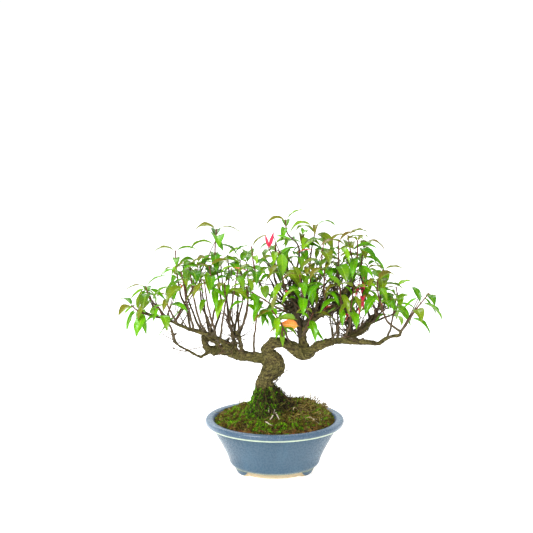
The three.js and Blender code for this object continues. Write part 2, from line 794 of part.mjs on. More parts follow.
// A leafy shoot in one skin: a square stem, whose side faces open into leaf blades at each pair
function shootSolid(curve, turned, seat, pairs, leaves) {
  const length = curve.getLength();
  const rootHalf = leafRootHalfHeight / length;
  const rings = [{ share: 1 }];
  pairs.forEach((share, pair) => {
    rings.push({ share: share + rootHalf }, { share: share - rootHalf, pair });
  });
  const stride = stemStep / length;
  let share = rings[rings.length - 1].share - stride;
  while (share > seat + 0.4 * stride) {
    rings.push({ share });
    share -= stride;
  }
  rings.push({ share: seat });
  rings.reverse();
  const positions = [];
  const faces = [];
  const add = (points) => points.map((point) => {
    positions.push(point.x, point.y, point.z);
    return positions.length / 3 - 1;
  });
  const band = (lower, upper) => {
    for (let i = 0; i < stemSides; i += 1) {
      const next = (i + 1) % stemSides;
      const far = upper.length > 1 ? [upper[i], upper[next]] : [upper[0]];
      faces.push(lower[i], lower[next], far[far.length - 1]);
      if (far.length > 1) {
        faces.push(lower[i], far[1], far[0]);
      }
    }
  };
  const corners = rings.map((ring) => add(stemRing(curve, ring.share, turned)));
  const pointAt = (index) => new THREE.Vector3().fromArray(positions, 3 * index);
  const spread = (points) => {
    const sum = points.reduce((total, point) => total.add(point), new THREE.Vector3());
    const centre = sum.divideScalar(points.length);
    return points.map((point) => point.clone().sub(centre).normalize());
  };
  for (let k = 0; k + 1 < rings.length; k += 1) {
    for (let i = 0; i < stemSides; i += 1) {
      const next = (i + 1) % stemSides;
      const quad = [corners[k][i], corners[k][next], corners[k + 1][next], corners[k + 1][i]];
      const opensInto = ({ pair, half }) => (pair + 2 * half + 3) % stemSides === i;
      const leaf = leaves.find((one) => one.pair === rings[k].pair && opensInto(one));
      if (!leaf) {
        faces.push(quad[0], quad[1], quad[2], quad[0], quad[2], quad[3]);
        continue;
      }
      const sections = leafRings(leaf).slice(1);
      const root = spread(quad.map(pointAt));
      const first = spread(sections[0]);
      const match = (shift) => root.reduce((sum, way, j) => sum + way.dot(first[(j + shift) % 4]), 0);
      const shift = [0, 1, 2, 3].reduce((best, one) => (match(one) > match(best) ? one : best), 0);
      let lower = quad;
      for (const section of sections) {
        const upper = add(section.map((_, j) => section[(j + shift) % section.length]));
        band(lower, upper);
        lower = upper;
      }
    }
  }
  const foot = corners[0];
  const top = corners[corners.length - 1];
  faces.push(foot[0], foot[2], foot[1], foot[0], foot[3], foot[2]);
  faces.push(top[0], top[1], top[2], top[0], top[2], top[3]);
  const geometry = new THREE.BufferGeometry();
  geometry.setAttribute('position', new THREE.Float32BufferAttribute(positions, 3));
  geometry.setIndex(faces);
  return solidOf(geometry);
}

// Other ways for a leaf to hang where its first place is taken: extra turn, share of droop and length
const leafTries = [
  [0, 1, 1], [14, 1, 1], [-14, 1, 1], [0, 1.6, 0.95], [0, 0.5, 0.95], [28, 1.1, 0.9], [-28, 1.1, 0.9],
  [0, 1, 0.78], [20, 0.8, 0.75], [-20, 0.8, 0.75], [40, 1, 0.7], [-40, 1, 0.7], [0, 1.3, 0.6],
];

function leafOf(slot, [turn, droop, share]) {
  const around = rad(slot.turn + turn);
  const rise = rad(slot.rise);
  const start = slot.side.clone().multiplyScalar(Math.cos(around) * Math.cos(rise))
    .addScaledVector(slot.across, Math.sin(around) * Math.cos(rise))
    .addScaledVector(slot.ahead, Math.sin(rise));
  return {
    ...slot,
    start,
    length: slot.length * share,
    droop: slot.droop * droop,
  };
}

function boxesMeet(a, b) {
  return [0, 1, 2].every((k) => a.min[k] <= b.max[k] && b.min[k] <= a.max[k]);
}

function meets(solid, others) {
  const box = solid.boundingBox();
  return others.some((other) => boxesMeet(box, other.box) && !solid.intersect(other.solid).isEmpty());
}

const boxed = (solid) => ({ solid, box: solid.boundingBox() });

// Stems stand on the wood, and the old leaves on what carries them, before any green leaf is placed
function bareStems(tree) {
  const bark = trianglesOf(tree);
  return Object.entries(shoots).map(([name, shoot], index) => {
    const seed = index + 1;
    const curve = stemCurve(shoot.stem, true);
    const pairs = pairShares(shoot, curve, seed);
    const seat = seatOf(curve, shoot.turn, bark);
    const stem = boxed(shootSolid(curve, shoot.turn, seat, pairs, []));
    return { name, shoot, seed, curve, pairs, seat, stem, ...stem };
  });
}

function oldLeafSolid({ stem, leaves }, carrier) {
  const curve = stemCurve(stem, false);
  const stalk = shootSolid(curve, 0, seatOf(curve, 0, trianglesOf(carrier)), [], []);
  const root = curve.getPointAt(1).addScaledVector(curve.getTangentAt(1), -stemTipRadius);
  return leaves.reduce((sum, leaf) => {
    const start = new THREE.Vector3(...leaf.start).normalize();
    return sum.add(solidOf(skin(leafRings({ ...leaf, base: root, start }))));
  }, stalk);
}

// Each leaf hangs in the first way that keeps it clear of the wood, of its own shoot and of all others
function addLeaves(one, others) {
  const leaves = [];
  const own = [one.stem];
  for (const slot of leafSlots(one.shoot, one.curve, one.seed)) {
    const fitting = leafTries.map((attempt) => leafOf(slot, attempt)).find((leaf) => {
      const rings = leafRings(leaf, leafClearance);
      return !meets(solidOf(skin(rings)), others) && !meets(solidOf(skin(rings.slice(1))), own);
    });
    if (fitting) {
      leaves.push(fitting);
      own.push(boxed(solidOf(skin(leafRings(fitting).slice(1)))));
    }
  }
  Object.assign(one, boxed(shootSolid(one.curve, one.shoot.turn, one.seat, one.pairs, leaves)));
}

const glaze = new THREE.MeshStandardMaterial({ color: 0x62809f, roughness: 0.28, metalness: 0 });
const moss = new THREE.MeshStandardMaterial({ color: 0x4c5a20, roughness: 1, metalness: 0 });
const bark = new THREE.MeshStandardMaterial({ color: 0x5f5240, roughness: 0.9, metalness: 0 });
const green = new THREE.MeshStandardMaterial({ color: 0x5fa32c, roughness: 0.4, metalness: 0 });
const orange = new THREE.MeshStandardMaterial({ color: 0xe88a3c, roughness: 0.45, metalness: 0 });
const red = new THREE.MeshStandardMaterial({ color: 0xc8324a, roughness: 0.45, metalness: 0 });

const bonsai = new THREE.Group();

function place(name, solid, material) {
  const mesh = new THREE.Mesh(geometryOf(solid), material);
  mesh.name = name;
  bonsai.add(mesh);
}

const tree = makeTree();
const stems = bareStems(tree);
const turnedLeaves = Object.entries(oldLeaves).map(([name, one]) => {
  const carrier = one.carrier === 'tree' ? tree : stems.find((stem) => stem.name === one.carrier).solid;
  return { name, ...boxed(oldLeafSolid(one, carrier)) };
});
for (const stem of stems) {
  addLeaves(stem, [boxed(tree), ...turnedLeaves, ...stems.filter((other) => other !== stem)]);
}

place('pot', makePot(), glaze);
place('soil', makeSoil(), moss);
place('tree', tree, bark);
stems.forEach((stem) => place(`leafy_shoot_${stem.name}`, stem.solid, green));
turnedLeaves.forEach((leaf) => place(leaf.name, leaf.solid, leaf.name.includes('orange') ? orange : red));

// The origin is under the middle of the whole plant's box, on the ground
const centre = new THREE.Box3().setFromObject(bonsai).getCenter(new THREE.Vector3());
bonsai.position.set(-centre.x, -centre.y, 0);

export default bonsai;
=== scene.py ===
import json
import math

import bpy
import numpy as np
from mathutils import Matrix, Vector, kdtree, noise

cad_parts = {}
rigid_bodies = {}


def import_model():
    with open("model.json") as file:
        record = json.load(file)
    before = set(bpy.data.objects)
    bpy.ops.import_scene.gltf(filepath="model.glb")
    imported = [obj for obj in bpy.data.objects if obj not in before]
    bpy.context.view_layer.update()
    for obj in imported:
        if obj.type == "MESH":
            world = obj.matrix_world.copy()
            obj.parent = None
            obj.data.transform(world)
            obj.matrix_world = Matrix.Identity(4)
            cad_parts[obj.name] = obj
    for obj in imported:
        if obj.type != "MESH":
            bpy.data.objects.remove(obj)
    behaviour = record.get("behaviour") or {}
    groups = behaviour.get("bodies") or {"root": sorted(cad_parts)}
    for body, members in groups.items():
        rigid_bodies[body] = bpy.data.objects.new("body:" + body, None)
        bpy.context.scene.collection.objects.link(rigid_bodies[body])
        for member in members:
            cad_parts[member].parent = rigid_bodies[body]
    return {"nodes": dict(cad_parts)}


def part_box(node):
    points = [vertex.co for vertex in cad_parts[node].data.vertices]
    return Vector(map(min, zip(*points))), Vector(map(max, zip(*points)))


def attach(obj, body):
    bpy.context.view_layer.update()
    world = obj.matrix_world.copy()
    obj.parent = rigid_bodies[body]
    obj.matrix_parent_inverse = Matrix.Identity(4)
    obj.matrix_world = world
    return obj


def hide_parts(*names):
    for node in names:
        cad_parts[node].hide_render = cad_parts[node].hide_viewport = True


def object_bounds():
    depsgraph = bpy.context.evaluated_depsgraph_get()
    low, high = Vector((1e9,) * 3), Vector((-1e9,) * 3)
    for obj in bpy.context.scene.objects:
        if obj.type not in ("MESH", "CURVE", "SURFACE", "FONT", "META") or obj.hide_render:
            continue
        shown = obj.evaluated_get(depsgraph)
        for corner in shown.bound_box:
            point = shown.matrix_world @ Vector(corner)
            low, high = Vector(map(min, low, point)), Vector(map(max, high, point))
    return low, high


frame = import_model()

for name in ("Cube", "Light", "Camera"):  # what a new Blender file starts with
    if name in bpy.data.objects and name not in frame["nodes"]:
        bpy.data.objects.remove(bpy.data.objects[name])
sizeBefore = [list(corner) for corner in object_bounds()]

# Shapes are worked out in millimetres with the pot's middle at x = y = 0; the frame is in metres.
potLow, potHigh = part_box("pot")
potMiddle = np.array([(potLow.x + potHigh.x) / 2, (potLow.y + potHigh.y) / 2, 0.0])
mm = 0.001
fullTurn = 2 * math.pi
zAxis = np.array([0.0, 0.0, 1.0])
white = (1, 1, 1, 1)
rng = np.random.default_rng(11)
noise.seed_set(11)  # Blender's vector noise differs from run to run without a seed


def toFrame(points):
    return np.asarray(points, float) * mm + potMiddle


def fromFrame(points):
    return (np.asarray(points, float) - potMiddle) / mm


def unit(v):
    v = np.asarray(v, float)
    return v / np.maximum(np.linalg.norm(v, axis=-1, keepdims=True), 1e-12)


def linear(red, green, blue):  # a colour as seen on a screen, 0 to 255
    light = [c / 255 / 12.92 if c <= 10 else ((c / 255 + 0.055) / 1.055) ** 2.4 for c in (red, green, blue)]
    return light + [1.0]


def palette(colours):
    return {name: linear(*colour) for name, colour in colours.items()}


def mixed(a, b, share):
    return [x + (y - x) * share for x, y in zip(a, b)]


def share01(value):
    return min(1, max(0, value))


def draw(seed, index):  # one repeatable draw between 0 and 1 for a pair of numbers
    value = math.sin(seed * 12.9898 + index * 78.233) * 43758.5453
    return value - math.floor(value)


def draws(seed, first, count):
    return [draw(seed, first + k) for k in range(count)]


def lumps(points, scale, seed=0.0):
    places = [(p[0] / scale + seed, p[1] / scale - seed, p[2] / scale + 0.5 * seed) for p in points]
    return np.array([noise.noise(Vector(place)) for place in places])


# Meshes are gathered patch by patch, then made in one go
class Pile:
    def __init__(self):
        self.verts, self.tints, self.uvs, self.faces, self.kinds = [], [], [], [], []
        self.count = 0

    def add(self, verts, faces, tint, uvs=None, kind=0):
        verts = np.asarray(verts, float).reshape(-1, 3)
        tint = np.asarray(tint, float)
        if tint.ndim == 1:
            tint = np.tile(tint, (len(verts), 1))
        self.verts.append(verts)
        self.tints.append(tint)
        self.uvs.append(np.zeros((len(verts), 2)) if uvs is None else np.asarray(uvs, float).reshape(-1, 2))
        self.faces.append(np.asarray(faces, int) + self.count)
        self.kinds.append(np.full(len(faces), kind))
        self.count += len(verts)

    def cap(self, faces, kind=0):  # closes the last patch with faces between corners that it already has
        self.faces.append(faces + self.count)
        self.kinds.append(np.full(len(faces), kind))

    def mesh(self, name, materials, smooth=True):
        made = bpy.data.meshes.new(name)
        faces = [face for part in self.faces for face in part.tolist()]
        made.from_pydata(np.clip(toFrame(np.vstack(self.verts)), *sizeBefore).tolist(), [], faces)
        for material in materials:
            made.materials.append(material)
        made.polygons.foreach_set("material_index", np.concatenate(self.kinds).astype(np.int32))
        made.polygons.foreach_set("use_smooth", np.full(len(made.polygons), smooth))
        tint = made.color_attributes.new(name="tint", type="FLOAT_COLOR", domain="POINT")
        tint.data.foreach_set("color", np.vstack(self.tints).ravel())
        corner = np.zeros(len(made.loops), np.int32)
        made.loops.foreach_get("vertex_index", corner)
        layer = made.uv_layers.new(name="UVMap")
        layer.data.foreach_set("uv", np.vstack(self.uvs)[corner].ravel())
        made.validate()
        made.update()
        return thingOf(name, made)


def thingOf(name, data):
    thing = bpy.data.objects.new(name, data)
    bpy.context.scene.collection.objects.link(thing)
    return thing


def put(piece, slotName, *nodes):
    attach(piece, "root")
    if nodes:
        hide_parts(*nodes)
    return piece


def gridFaces(rows, columns, closed=False):
    k, i = np.meshgrid(np.arange(rows - 1), np.arange(columns if closed else columns - 1), indexing="ij")
    after = (i + 1) % columns
    a, b = k * columns + i, k * columns + after
    return np.stack([a, b, b + columns, a + columns], -1).reshape(-1, 4)


def ringOf(sides):
    return np.linspace(0, fullTurn, sides, endpoint=False)


def sidesOf(path):  # two directions square to a path, carried along it without twist
    side = np.zeros_like(path)
    ahead = unit(np.gradient(path, axis=0))
    last = np.array([0.31, 0.86, 0.4])
    for k, way in enumerate(ahead):
        last = last - way * last.dot(way)
        last = last / np.linalg.norm(last)
        side[k] = last
    return side, np.cross(ahead, side)


def tube(pile, path, radii, sides, tint, kind=0):
    path = np.asarray(path, float)
    radii = np.broadcast_to(np.asarray(radii, float), (len(path),))
    ahead = unit(path[-1] - path[-2])
    path = np.vstack([path, path[-1] + ahead * radii[-1] * 0.6])  # the rounded end
    radii = np.append(radii, radii[-1] * 0.35)
    if np.ndim(tint) == 2:
        tint = np.repeat(np.vstack([tint, tint[-1]]), sides, axis=0)
    side, across = sidesOf(path)
    turn = ringOf(sides)
    ring = side[:, None] * np.cos(turn)[None, :, None] + across[:, None] * np.sin(turn)[None, :, None]
    uvs = np.stack(np.meshgrid(np.linspace(0, 1, len(path)), turn / fullTurn, indexing="ij"), -1)[..., ::-1]
    verts = path[:, None] + ring * radii[:, None, None]
    pile.add(verts, gridFaces(len(path), sides, True), tint, uvs, kind)
    ends = np.arange(sides)[None, :]
    pile.cap(np.concatenate([ends[:, ::-1] - len(path) * sides, ends - sides]), kind)


# A smooth line through points, walked in even steps of length
class Line:
    def __init__(self, points):
        self.knots = np.array([list(p)[:3] for p in points], float)
        self.shares = np.linspace(0, 1, 201)
        steps = np.linalg.norm(np.diff(self.at(self.shares), axis=0), axis=1)
        self.table = np.concatenate([[0], np.cumsum(steps)])
        self.length = self.table[-1]

    def at(self, shares):
        knots = self.knots
        padded = np.vstack([2 * knots[0] - knots[1], knots, 2 * knots[-1] - knots[-2]])
        place = np.clip(np.atleast_1d(shares), 0, 1) * (len(knots) - 1)
        first = np.minimum(place.astype(int), len(knots) - 2)
        w = (place - first)[:, None]
        p0, p1, p2, p3 = [padded[first + k] for k in range(4)]
        pairs = ((p0, p1), (p1, p2), (p2, p3))
        g0, g1, g2 = [np.sqrt(np.linalg.norm(b - a, axis=1))[:, None] for a, b in pairs]
        m1 = ((p1 - p0) / g0 - (p2 - p0) / (g0 + g1) + (p2 - p1) / g1) * g1
        m2 = ((p2 - p1) / g1 - (p3 - p1) / (g1 + g2) + (p3 - p2) / g2) * g1
        return (((2 * p1 - 2 * p2 + m1 + m2) * w + (3 * p2 - 3 * p1 - 2 * m1 - m2)) * w + m1) * w + p1

    def even(self, shares):
        return np.interp(np.atleast_1d(shares) * self.length, self.table, self.shares)

    def points(self, shares):
        return self.at(self.even(shares))

    def tangents(self, shares):
        t = self.even(shares)
        return unit(self.at(np.minimum(t + 1e-4, 1)) - self.at(np.maximum(t - 1e-4, 0)))


def lineTube(pile, points, count, foot, tip, sides, tint):  # a tapering tube through a few points
    path = Line(points).points(np.linspace(0, 1, count))
    tube(pile, path, np.linspace(foot, tip, count), sides, tint)


# Builds a material from small steps
class Look:
    def __init__(self, name):
        self.material = bpy.data.materials.new(name)
        self.material.use_nodes = True
        self.tree = self.material.node_tree
        self.tree.nodes.clear()
        self.surface = self.node("ShaderNodeBsdfPrincipled")
        self.output = self.node("ShaderNodeOutputMaterial")
        self.link(self.surface.outputs[0], self.output.inputs["Surface"])

    def node(self, kind, **settings):
        made = self.tree.nodes.new(kind)
        for key, value in settings.items():
            setattr(made, key, value)
        return made

    def link(self, a, b):
        self.tree.links.new(a, b)

    def put(self, socket, value):
        if hasattr(value, "is_output"):
            self.link(value, socket)
        else:
            socket.default_value = value

    def set(self, **values):
        for key, value in values.items():
            self.put(self.surface.inputs[key.replace("_", " ")], value)

    def math(self, operation, a, b=0.0):
        made = self.node("ShaderNodeMath", operation=operation)
        self.put(made.inputs[0], a)
        self.put(made.inputs[1], b)
        return made.outputs[0]

    def add(self, a, b):
        return self.math("ADD", a, b)

    def minus(self, a, b):
        return self.math("SUBTRACT", a, b)

    def times(self, a, b):
        return self.math("MULTIPLY", a, b)

    def rescale(self, value, low, high, toLow=0.0, toHigh=1.0):
        made = self.node("ShaderNodeMapRange", interpolation_type="SMOOTHSTEP")
        for index, item in enumerate((value, low, high, toLow, toHigh)):
            self.put(made.inputs[index], item)
        return made.outputs[0]

    def mix(self, share, a, b):
        made = self.node("ShaderNodeMix", data_type="RGBA")
        self.put(made.inputs[0], share)
        self.put(made.inputs[6], a)
        self.put(made.inputs[7], b)
        return made.outputs[2]

    def place(self):
        return self.node("ShaderNodeTexCoord").outputs["Object"]

    def xyz(self, vector):
        split = self.node("ShaderNodeSeparateXYZ")
        self.link(vector, split.inputs[0])
        return split.outputs

    def grain(self, scale, detail=3.0, rough=0.55, stretch=None):
        spot = self.place()
        if stretch:
            mapping = self.node("ShaderNodeMapping")
            self.link(spot, mapping.inputs[0])
            mapping.inputs["Scale"].default_value = stretch
            spot = mapping.outputs[0]
        made = self.node("ShaderNodeTexNoise")
        self.link(spot, made.inputs["Vector"])
        for key, value in (("Scale", scale), ("Detail", detail), ("Roughness", rough)):
            made.inputs[key].default_value = value
        return made.outputs["Fac"]

    def cells(self, scale):
        made = self.node("ShaderNodeTexVoronoi")
        self.link(self.place(), made.inputs["Vector"])
        made.inputs["Scale"].default_value = scale
        return made.outputs["Distance"]

    def tint(self):
        return self.node("ShaderNodeAttribute", attribute_name="tint").outputs["Color"]

    def tintAlpha(self):
        return self.node("ShaderNodeAttribute", attribute_name="tint").outputs["Alpha"]

    def bump(self, height, distance, strength):
        made = self.node("ShaderNodeBump")
        self.link(height, made.inputs["Height"])
        made.inputs["Distance"].default_value = distance
        made.inputs["Strength"].default_value = strength
        return made.outputs[0]


print("helpers ready")

# Pot
pot = {
    "halfWidth": 89, "depthRatio": 0.78, "foot": 2, "top": 71, "segments": 144, "soften": 3,
    "profile": [  # half width and height, from the base's middle over the lip to the floor's middle
        (0, 2), (48.4, 2), (49.2, 2.4), (49.5, 6.8), (49.9, 7.1), (51.6, 7.3), (52.6, 7.8), (54.8, 9),
        (57, 10.6), (58.8, 14), (60, 18.5), (62, 24), (64.5, 29.4), (68, 36.4), (71.5, 43), (75, 49.4),
        (78, 55.2), (79.6, 58.8), (80.6, 60.4), (82.4, 61), (84, 61.4), (86.4, 62.3), (88.1, 63.9),
        (88.8, 65.6), (89, 67.2), (88.7, 68.8), (87.6, 70.1), (85.8, 70.8), (83.5, 71), (81, 70.7),
        (79, 69.7), (77.6, 68.2), (76.8, 66.3), (74, 60), (65.5, 43), (58.5, 29), (54, 18.5), (50, 12),
        (46.5, 9), (0, 9),
    ],
    "feet": (29, 151, 209, 331),
    "footRings": [  # height, outer and inner half width, half spread in degrees
        (0, 50.2, 41, 14.4), (0.5, 50.9, 40.4, 15), (2.5, 52, 39.6, 16), (5, 53, 39.2, 17),
        (7, 53.8, 39.6, 18), (8.6, 54.4, 40, 19),
    ],
}


def potWall():
    line = Line([(half, height, 0) for half, height in pot["profile"]])
    profile = line.at(np.linspace(0, 1, pot["soften"] * (len(pot["profile"]) - 1) + 1))[:, :2]
    half = np.clip(profile[:, 0], 0.02, pot["halfWidth"])
    height = np.clip(profile[:, 1], pot["foot"], pot["top"])
    turn = ringOf(pot["segments"])
    ring = np.stack([np.cos(turn), np.sin(turn) * pot["depthRatio"]], -1)
    verts = np.zeros((len(profile), len(turn), 3))
    verts[..., :2] = half[:, None, None] * ring[None]
    verts[..., 2] = height[:, None]
    return verts


def potFoot(corner):
    rings = []
    for height, outer, inner, spread in pot["footRings"]:
        across = np.linspace(-1, 1, 13)
        arc = np.radians(corner + across * spread)
        oval = np.stack([np.cos(arc), pot["depthRatio"] * np.sin(arc)], -1)
        bulge = (1 - 0.05 * np.abs(across) ** 4)[:, None]
        loop = np.vstack([outer * bulge * oval, inner * oval[::-1]])
        rings.append(np.column_stack([loop, np.full(len(loop), height)]))
    return np.array(rings)


def potPiece():
    pile = Pile()
    wall = potWall()
    pile.add(wall, gridFaces(*wall.shape[:2], True), white)
    for corner in pot["feet"]:
        rings = potFoot(corner)
        pile.add(rings, gridFaces(*rings.shape[:2], True), white)
        sole = np.arange(rings.shape[1])[None, ::-1]
        pile.cap(sole - rings.shape[0] * rings.shape[1])
    return put(pile.mesh("glazedPot", [glazeLook()]), "glazed_stoneware", "pot")


glaze = palette({
    "body": (53, 80, 99), "pale": (62, 88, 107), "runs": (70, 102, 122), "specks": (46, 74, 98),
    # the lip's lighter back colour is painted light on the lip's top
    "lipBackPaintedLight": (122, 138, 154), "lipFront": (62, 84, 106), "lipSpecks": (176, 190, 194),
    # the crest colour is a painted highlight on the rim's top edge
    "line": (192, 208, 178), "crestHighlight": (150, 166, 188), "kink": (122, 134, 112), "inside": (70, 88, 118),
    "clay": (206, 190, 160), "darkClay": (176, 156, 122),
})
glazeHeights = {  # in millimetres: where each band starts and where it is full; the crest band is a painted highlight, the others are bands of the glaze
    "lip": (61.5, 65.5), "lineFoot": (60.2, 61.6), "lineTop": (65.2, 63.4), "crestHighlight": (69.3, 70.6),
    "kinkFoot": (6.0, 7.6), "kinkTop": (12.5, 8.2), "bare": (8.4, 7.2),
}
glazeInside = (59.5, 62.5, 0, 0.85)  # the glaze inside the pot comes in between these heights, up to 0.85
glazeReach = {"frontStarts": 0.02, "frontFull": 0.055, "inside": (0.0805, 0.0788), "bare": (0.0512, 0.05)}


def ovalReach(look, x, y):  # how far out a place lies, as the half width of the pot's oval through it
    middleX, middleY = float(potMiddle[0]), float(potMiddle[1])
    along = look.math("POWER", look.minus(x, middleX), 2.0)
    back = look.math("POWER", look.math("DIVIDE", look.minus(y, middleY), pot["depthRatio"]), 2.0)
    return look.math("SQRT", look.add(along, back))


def glazeLook():
    look = Look("glaze")
    x, y, z = look.xyz(look.place())
    height = look.times(z, 1 / mm)
    soft = look.grain(22, 4)
    fine = look.grain(420, 3)
    runs = look.grain(60, 3, stretch=(1, 1, 0.12))
    wavy = look.add(height, look.times(look.minus(look.grain(55, 3), 0.5), 1.3))
    band = {name: look.rescale(wavy, *heights) for name, heights in glazeHeights.items()}
    oval = ovalReach(look, x, y)

    shade = look.mix(look.rescale(soft, 0.3, 0.7), glaze["body"], glaze["pale"])
    shade = look.mix(look.rescale(runs, 0.5, 0.75, 0, 0.3), shade, glaze["runs"])
    shade = look.mix(look.rescale(fine, 0.6, 0.76, 0, 0.12), shade, glaze["specks"])
    middleY = float(potMiddle[1])
    # painted light: the lip is lighter at the back, where its top is seen, and keeps its own darker colour at
    # the front
    front = look.rescale(y, middleY - glazeReach["frontStarts"], middleY - glazeReach["frontFull"])
    lip = look.mix(front, glaze["lipBackPaintedLight"], glaze["lipFront"])
    lip = look.mix(look.rescale(look.grain(900, 3), 0.58, 0.72, 0, 0.5), lip, glaze["lipSpecks"])
    shade = look.mix(look.times(band["lip"], 0.85), shade, lip)
    line = look.times(band["lineFoot"], band["lineTop"])
    shade = look.mix(look.times(line, look.rescale(soft, 0.2, 0.5, 0.55, 0.95)), shade, glaze["line"])
    # painted highlight along the top edge of the rim
    crestHighlight = look.times(band["crestHighlight"], look.rescale(fine, 0.35, 0.6, 0.2, 0.7))
    shade = look.mix(look.times(crestHighlight, 0.2), shade, glaze["crestHighlight"])
    kink = look.times(band["kinkFoot"], band["kinkTop"])
    shade = look.mix(look.times(kink, 0.75), shade, glaze["kink"])
    inside = look.times(look.rescale(oval, *glazeReach["inside"]), look.rescale(height, *glazeInside))
    shade = look.mix(inside, shade, glaze["inside"])
    bare = look.times(look.rescale(oval, *glazeReach["bare"]), band["bare"])
    clay = look.mix(look.grain(300, 4), glaze["clay"], glaze["darkClay"])
    look.set(Base_Color=look.mix(bare, shade, clay))
    look.set(Roughness=look.add(look.rescale(fine, 0.3, 0.7, 0.2, 0.36), look.times(bare, 0.5)))
    look.set(Specular_IOR_Level=0.28, Coat_Weight=0.1, Coat_Roughness=0.12)
    look.set(Normal=look.bump(look.add(look.times(soft, 0.6), look.times(fine, 0.25)), 0.0006, 0.5))
    return look.material


potPiece()
print("pot ready")

# Soil with its moss
soil = {
    "halfWidth": 77, "reach": 76.3, "edge": 66.0, "dome": 13.0, "tilt": 0.28,
    "mound": 9.0, "moundReach": 26.0, "stock": (-12.0, 0.0), "rings": 92, "turns": 260,
    "skirt": [(75, 62), (64.6, 43), (53, 18.5), (45, 9.5), (0.1, 9.4)],  # half width and height
    "brightSpots": [(-58, -34), (-9, -49), (8, -47), (-40, -20)],
    "banks": [  # extra moss: x, y, height, reach
        (36, 30, 4.5, 26), (8, -2, 9, 17), (44, 38, 3.5, 19), (-30, -14, 1.5, 18), (-2, -22, 2.2, 16),
        (4, 3, 4, 10), (-14, -8, 5, 16),
    ],
    "bare": [(46, -24, 22, 0.3), (2, -26, 15, 0.5)],  # where the moss is thin: x, y, reach, share
}
soilColours = palette({
    "earth": (52, 42, 18), "redEarth": (120, 66, 36), "dark": (34, 26, 18), "litter": (150, 132, 66),
    "deepMoss": (48, 54, 12), "moss": (102, 114, 12), "brightMoss": (128, 200, 16),
    "oliveMoss": (116, 98, 34), "root": (244, 226, 212), "straw": (172, 152, 80), "twig": (82, 68, 32),
    "fibre": (96, 84, 44), "darkFibre": (74, 62, 34),
})


def hill(x, y, middleX, middleY, wide):
    return np.exp(-((x - middleX) ** 2 + (y - middleY) ** 2) / wide ** 2)


def soilBase(x, y):
    reach = np.minimum(1, np.hypot(x, y / pot["depthRatio"]) / soil["halfWidth"])
    dome = soil["dome"] * (1 - reach ** 4) * (1 + soil["tilt"] * x / soil["halfWidth"])
    height = soil["edge"] + dome + soil["mound"] * hill(x, y, *soil["stock"], soil["moundReach"])
    for bankX, bankY, rise, wide in soil["banks"]:
        height = height + rise * hill(x, y, bankX, bankY, wide) * (1 - reach ** 6)
    return height


def flatPoints(x, y):
    return np.column_stack([np.atleast_1d(x), np.atleast_1d(y), np.zeros(np.size(x))])


def mossiness(x, y):  # 1 under thick moss, 0 on bare soil
    flat = flatPoints(x, y)
    patches = 0.66 + 0.9 * lumps(flat, 17, 3.1) + 0.45 * lumps(flat, 6, 8.2)
    reach = np.hypot(x, y / pot["depthRatio"]) / soil["halfWidth"]
    front = np.clip(-np.asarray(y) / 60, 0, 1) * np.clip((reach - 0.9) / 0.09, 0, 1)
    for brightX, brightY in soil["brightSpots"]:
        patches = patches + 0.9 * hill(x, y, brightX, brightY, 8)
    for bareX, bareY, wide, share in soil["bare"]:
        patches = patches - share * hill(x, y, bareX, bareY, wide)
    return np.clip(patches - 0.9 * front, 0, 1)


def soilHeight(x, y):
    x, y = np.atleast_1d(np.asarray(x, float)), np.atleast_1d(np.asarray(y, float))
    flat = flatPoints(x, y)
    reach = np.minimum(1, np.hypot(x, y / pot["depthRatio"]) / soil["reach"])
    rough = 2.4 * lumps(flat, 9, 1.7) + 2.4 * lumps(flat, 3.9, 5.5) + 0.8 * lumps(flat, 1.7, 2.2)
    cushion = 1.9 * mossiness(x, y) * np.clip((1 - reach) / 0.05, 0, 1)
    return soilBase(x, y) + np.clip((1 - reach) / 0.08, 0, 1) * rough + cushion


def soilTint(fleck, green, bare):  # earth under moss, and reddish earth in the bare strip at the front
    earth = mixed(soilColours["earth"], soilColours["redEarth"], share01(0.35 * fleck + bare))
    moss = soilColours["oliveMoss" if fleck > 0.62 else "deepMoss"]
    return mixed(earth, moss, min(1, 0.35 + 0.8 * green) * (1 - bare))[:3] + [green]


def soilPiece():
    pile = Pile()
    ring = np.linspace(0, 1, soil["rings"]) ** 0.85
    turn = ringOf(soil["turns"])
    x = (ring[:, None] * soil["reach"] * np.cos(turn)).ravel()
    y = (ring[:, None] * soil["reach"] * pot["depthRatio"] * np.sin(turn)).ravel()
    z = soilHeight(x, y)
    green = mossiness(x, y)
    fleck = 0.5 + lumps(np.column_stack([x, y, z]), 2.3, 4.4)
    bare = np.clip(-y / 45, 0, 1) * np.clip((np.hypot(x, y / pot["depthRatio"]) - 71) / 4, 0, 1)
    tint = [soilTint(*spot) for spot in zip(fleck, green, bare)]
    pile.add(np.column_stack([x, y, z]), gridFaces(soil["rings"], soil["turns"], True), tint)
    edge = z[-soil["turns"]:]
    skirt = []
    for half, level in [(soil["reach"], edge)] + soil["skirt"]:
        level = np.broadcast_to(level, len(turn))
        skirt.append(np.column_stack([half * np.cos(turn), half * pot["depthRatio"] * np.sin(turn), level]))
    below = gridFaces(len(skirt), soil["turns"], True)[:, ::-1]
    pile.add(np.array(skirt), below, soilColours["dark"][:3] + [0.0])
    return put(pile.mesh("mossySoil", [soilLook()]), "mossy_soil", "soil")


def soilLook():
    look = Look("earthAndMoss")
    coarse = look.grain(900, 5, 0.7)
    crumbs = look.cells(620)
    shade = look.mix(look.rescale(coarse, 0.35, 0.65), linear(40, 30, 20), look.tint())
    lit = look.mix(look.tintAlpha(), linear(140, 92, 56), linear(104, 140, 30))
    shade = look.mix(look.rescale(crumbs, 0.5, 0.1, 0, 0.6), shade, lit)
    look.set(Base_Color=shade, Roughness=0.95, Specular_IOR_Level=0.2)
    look.set(Normal=look.bump(look.add(coarse, look.times(crumbs, -0.8)), 0.002, 0.9))
    return look.material


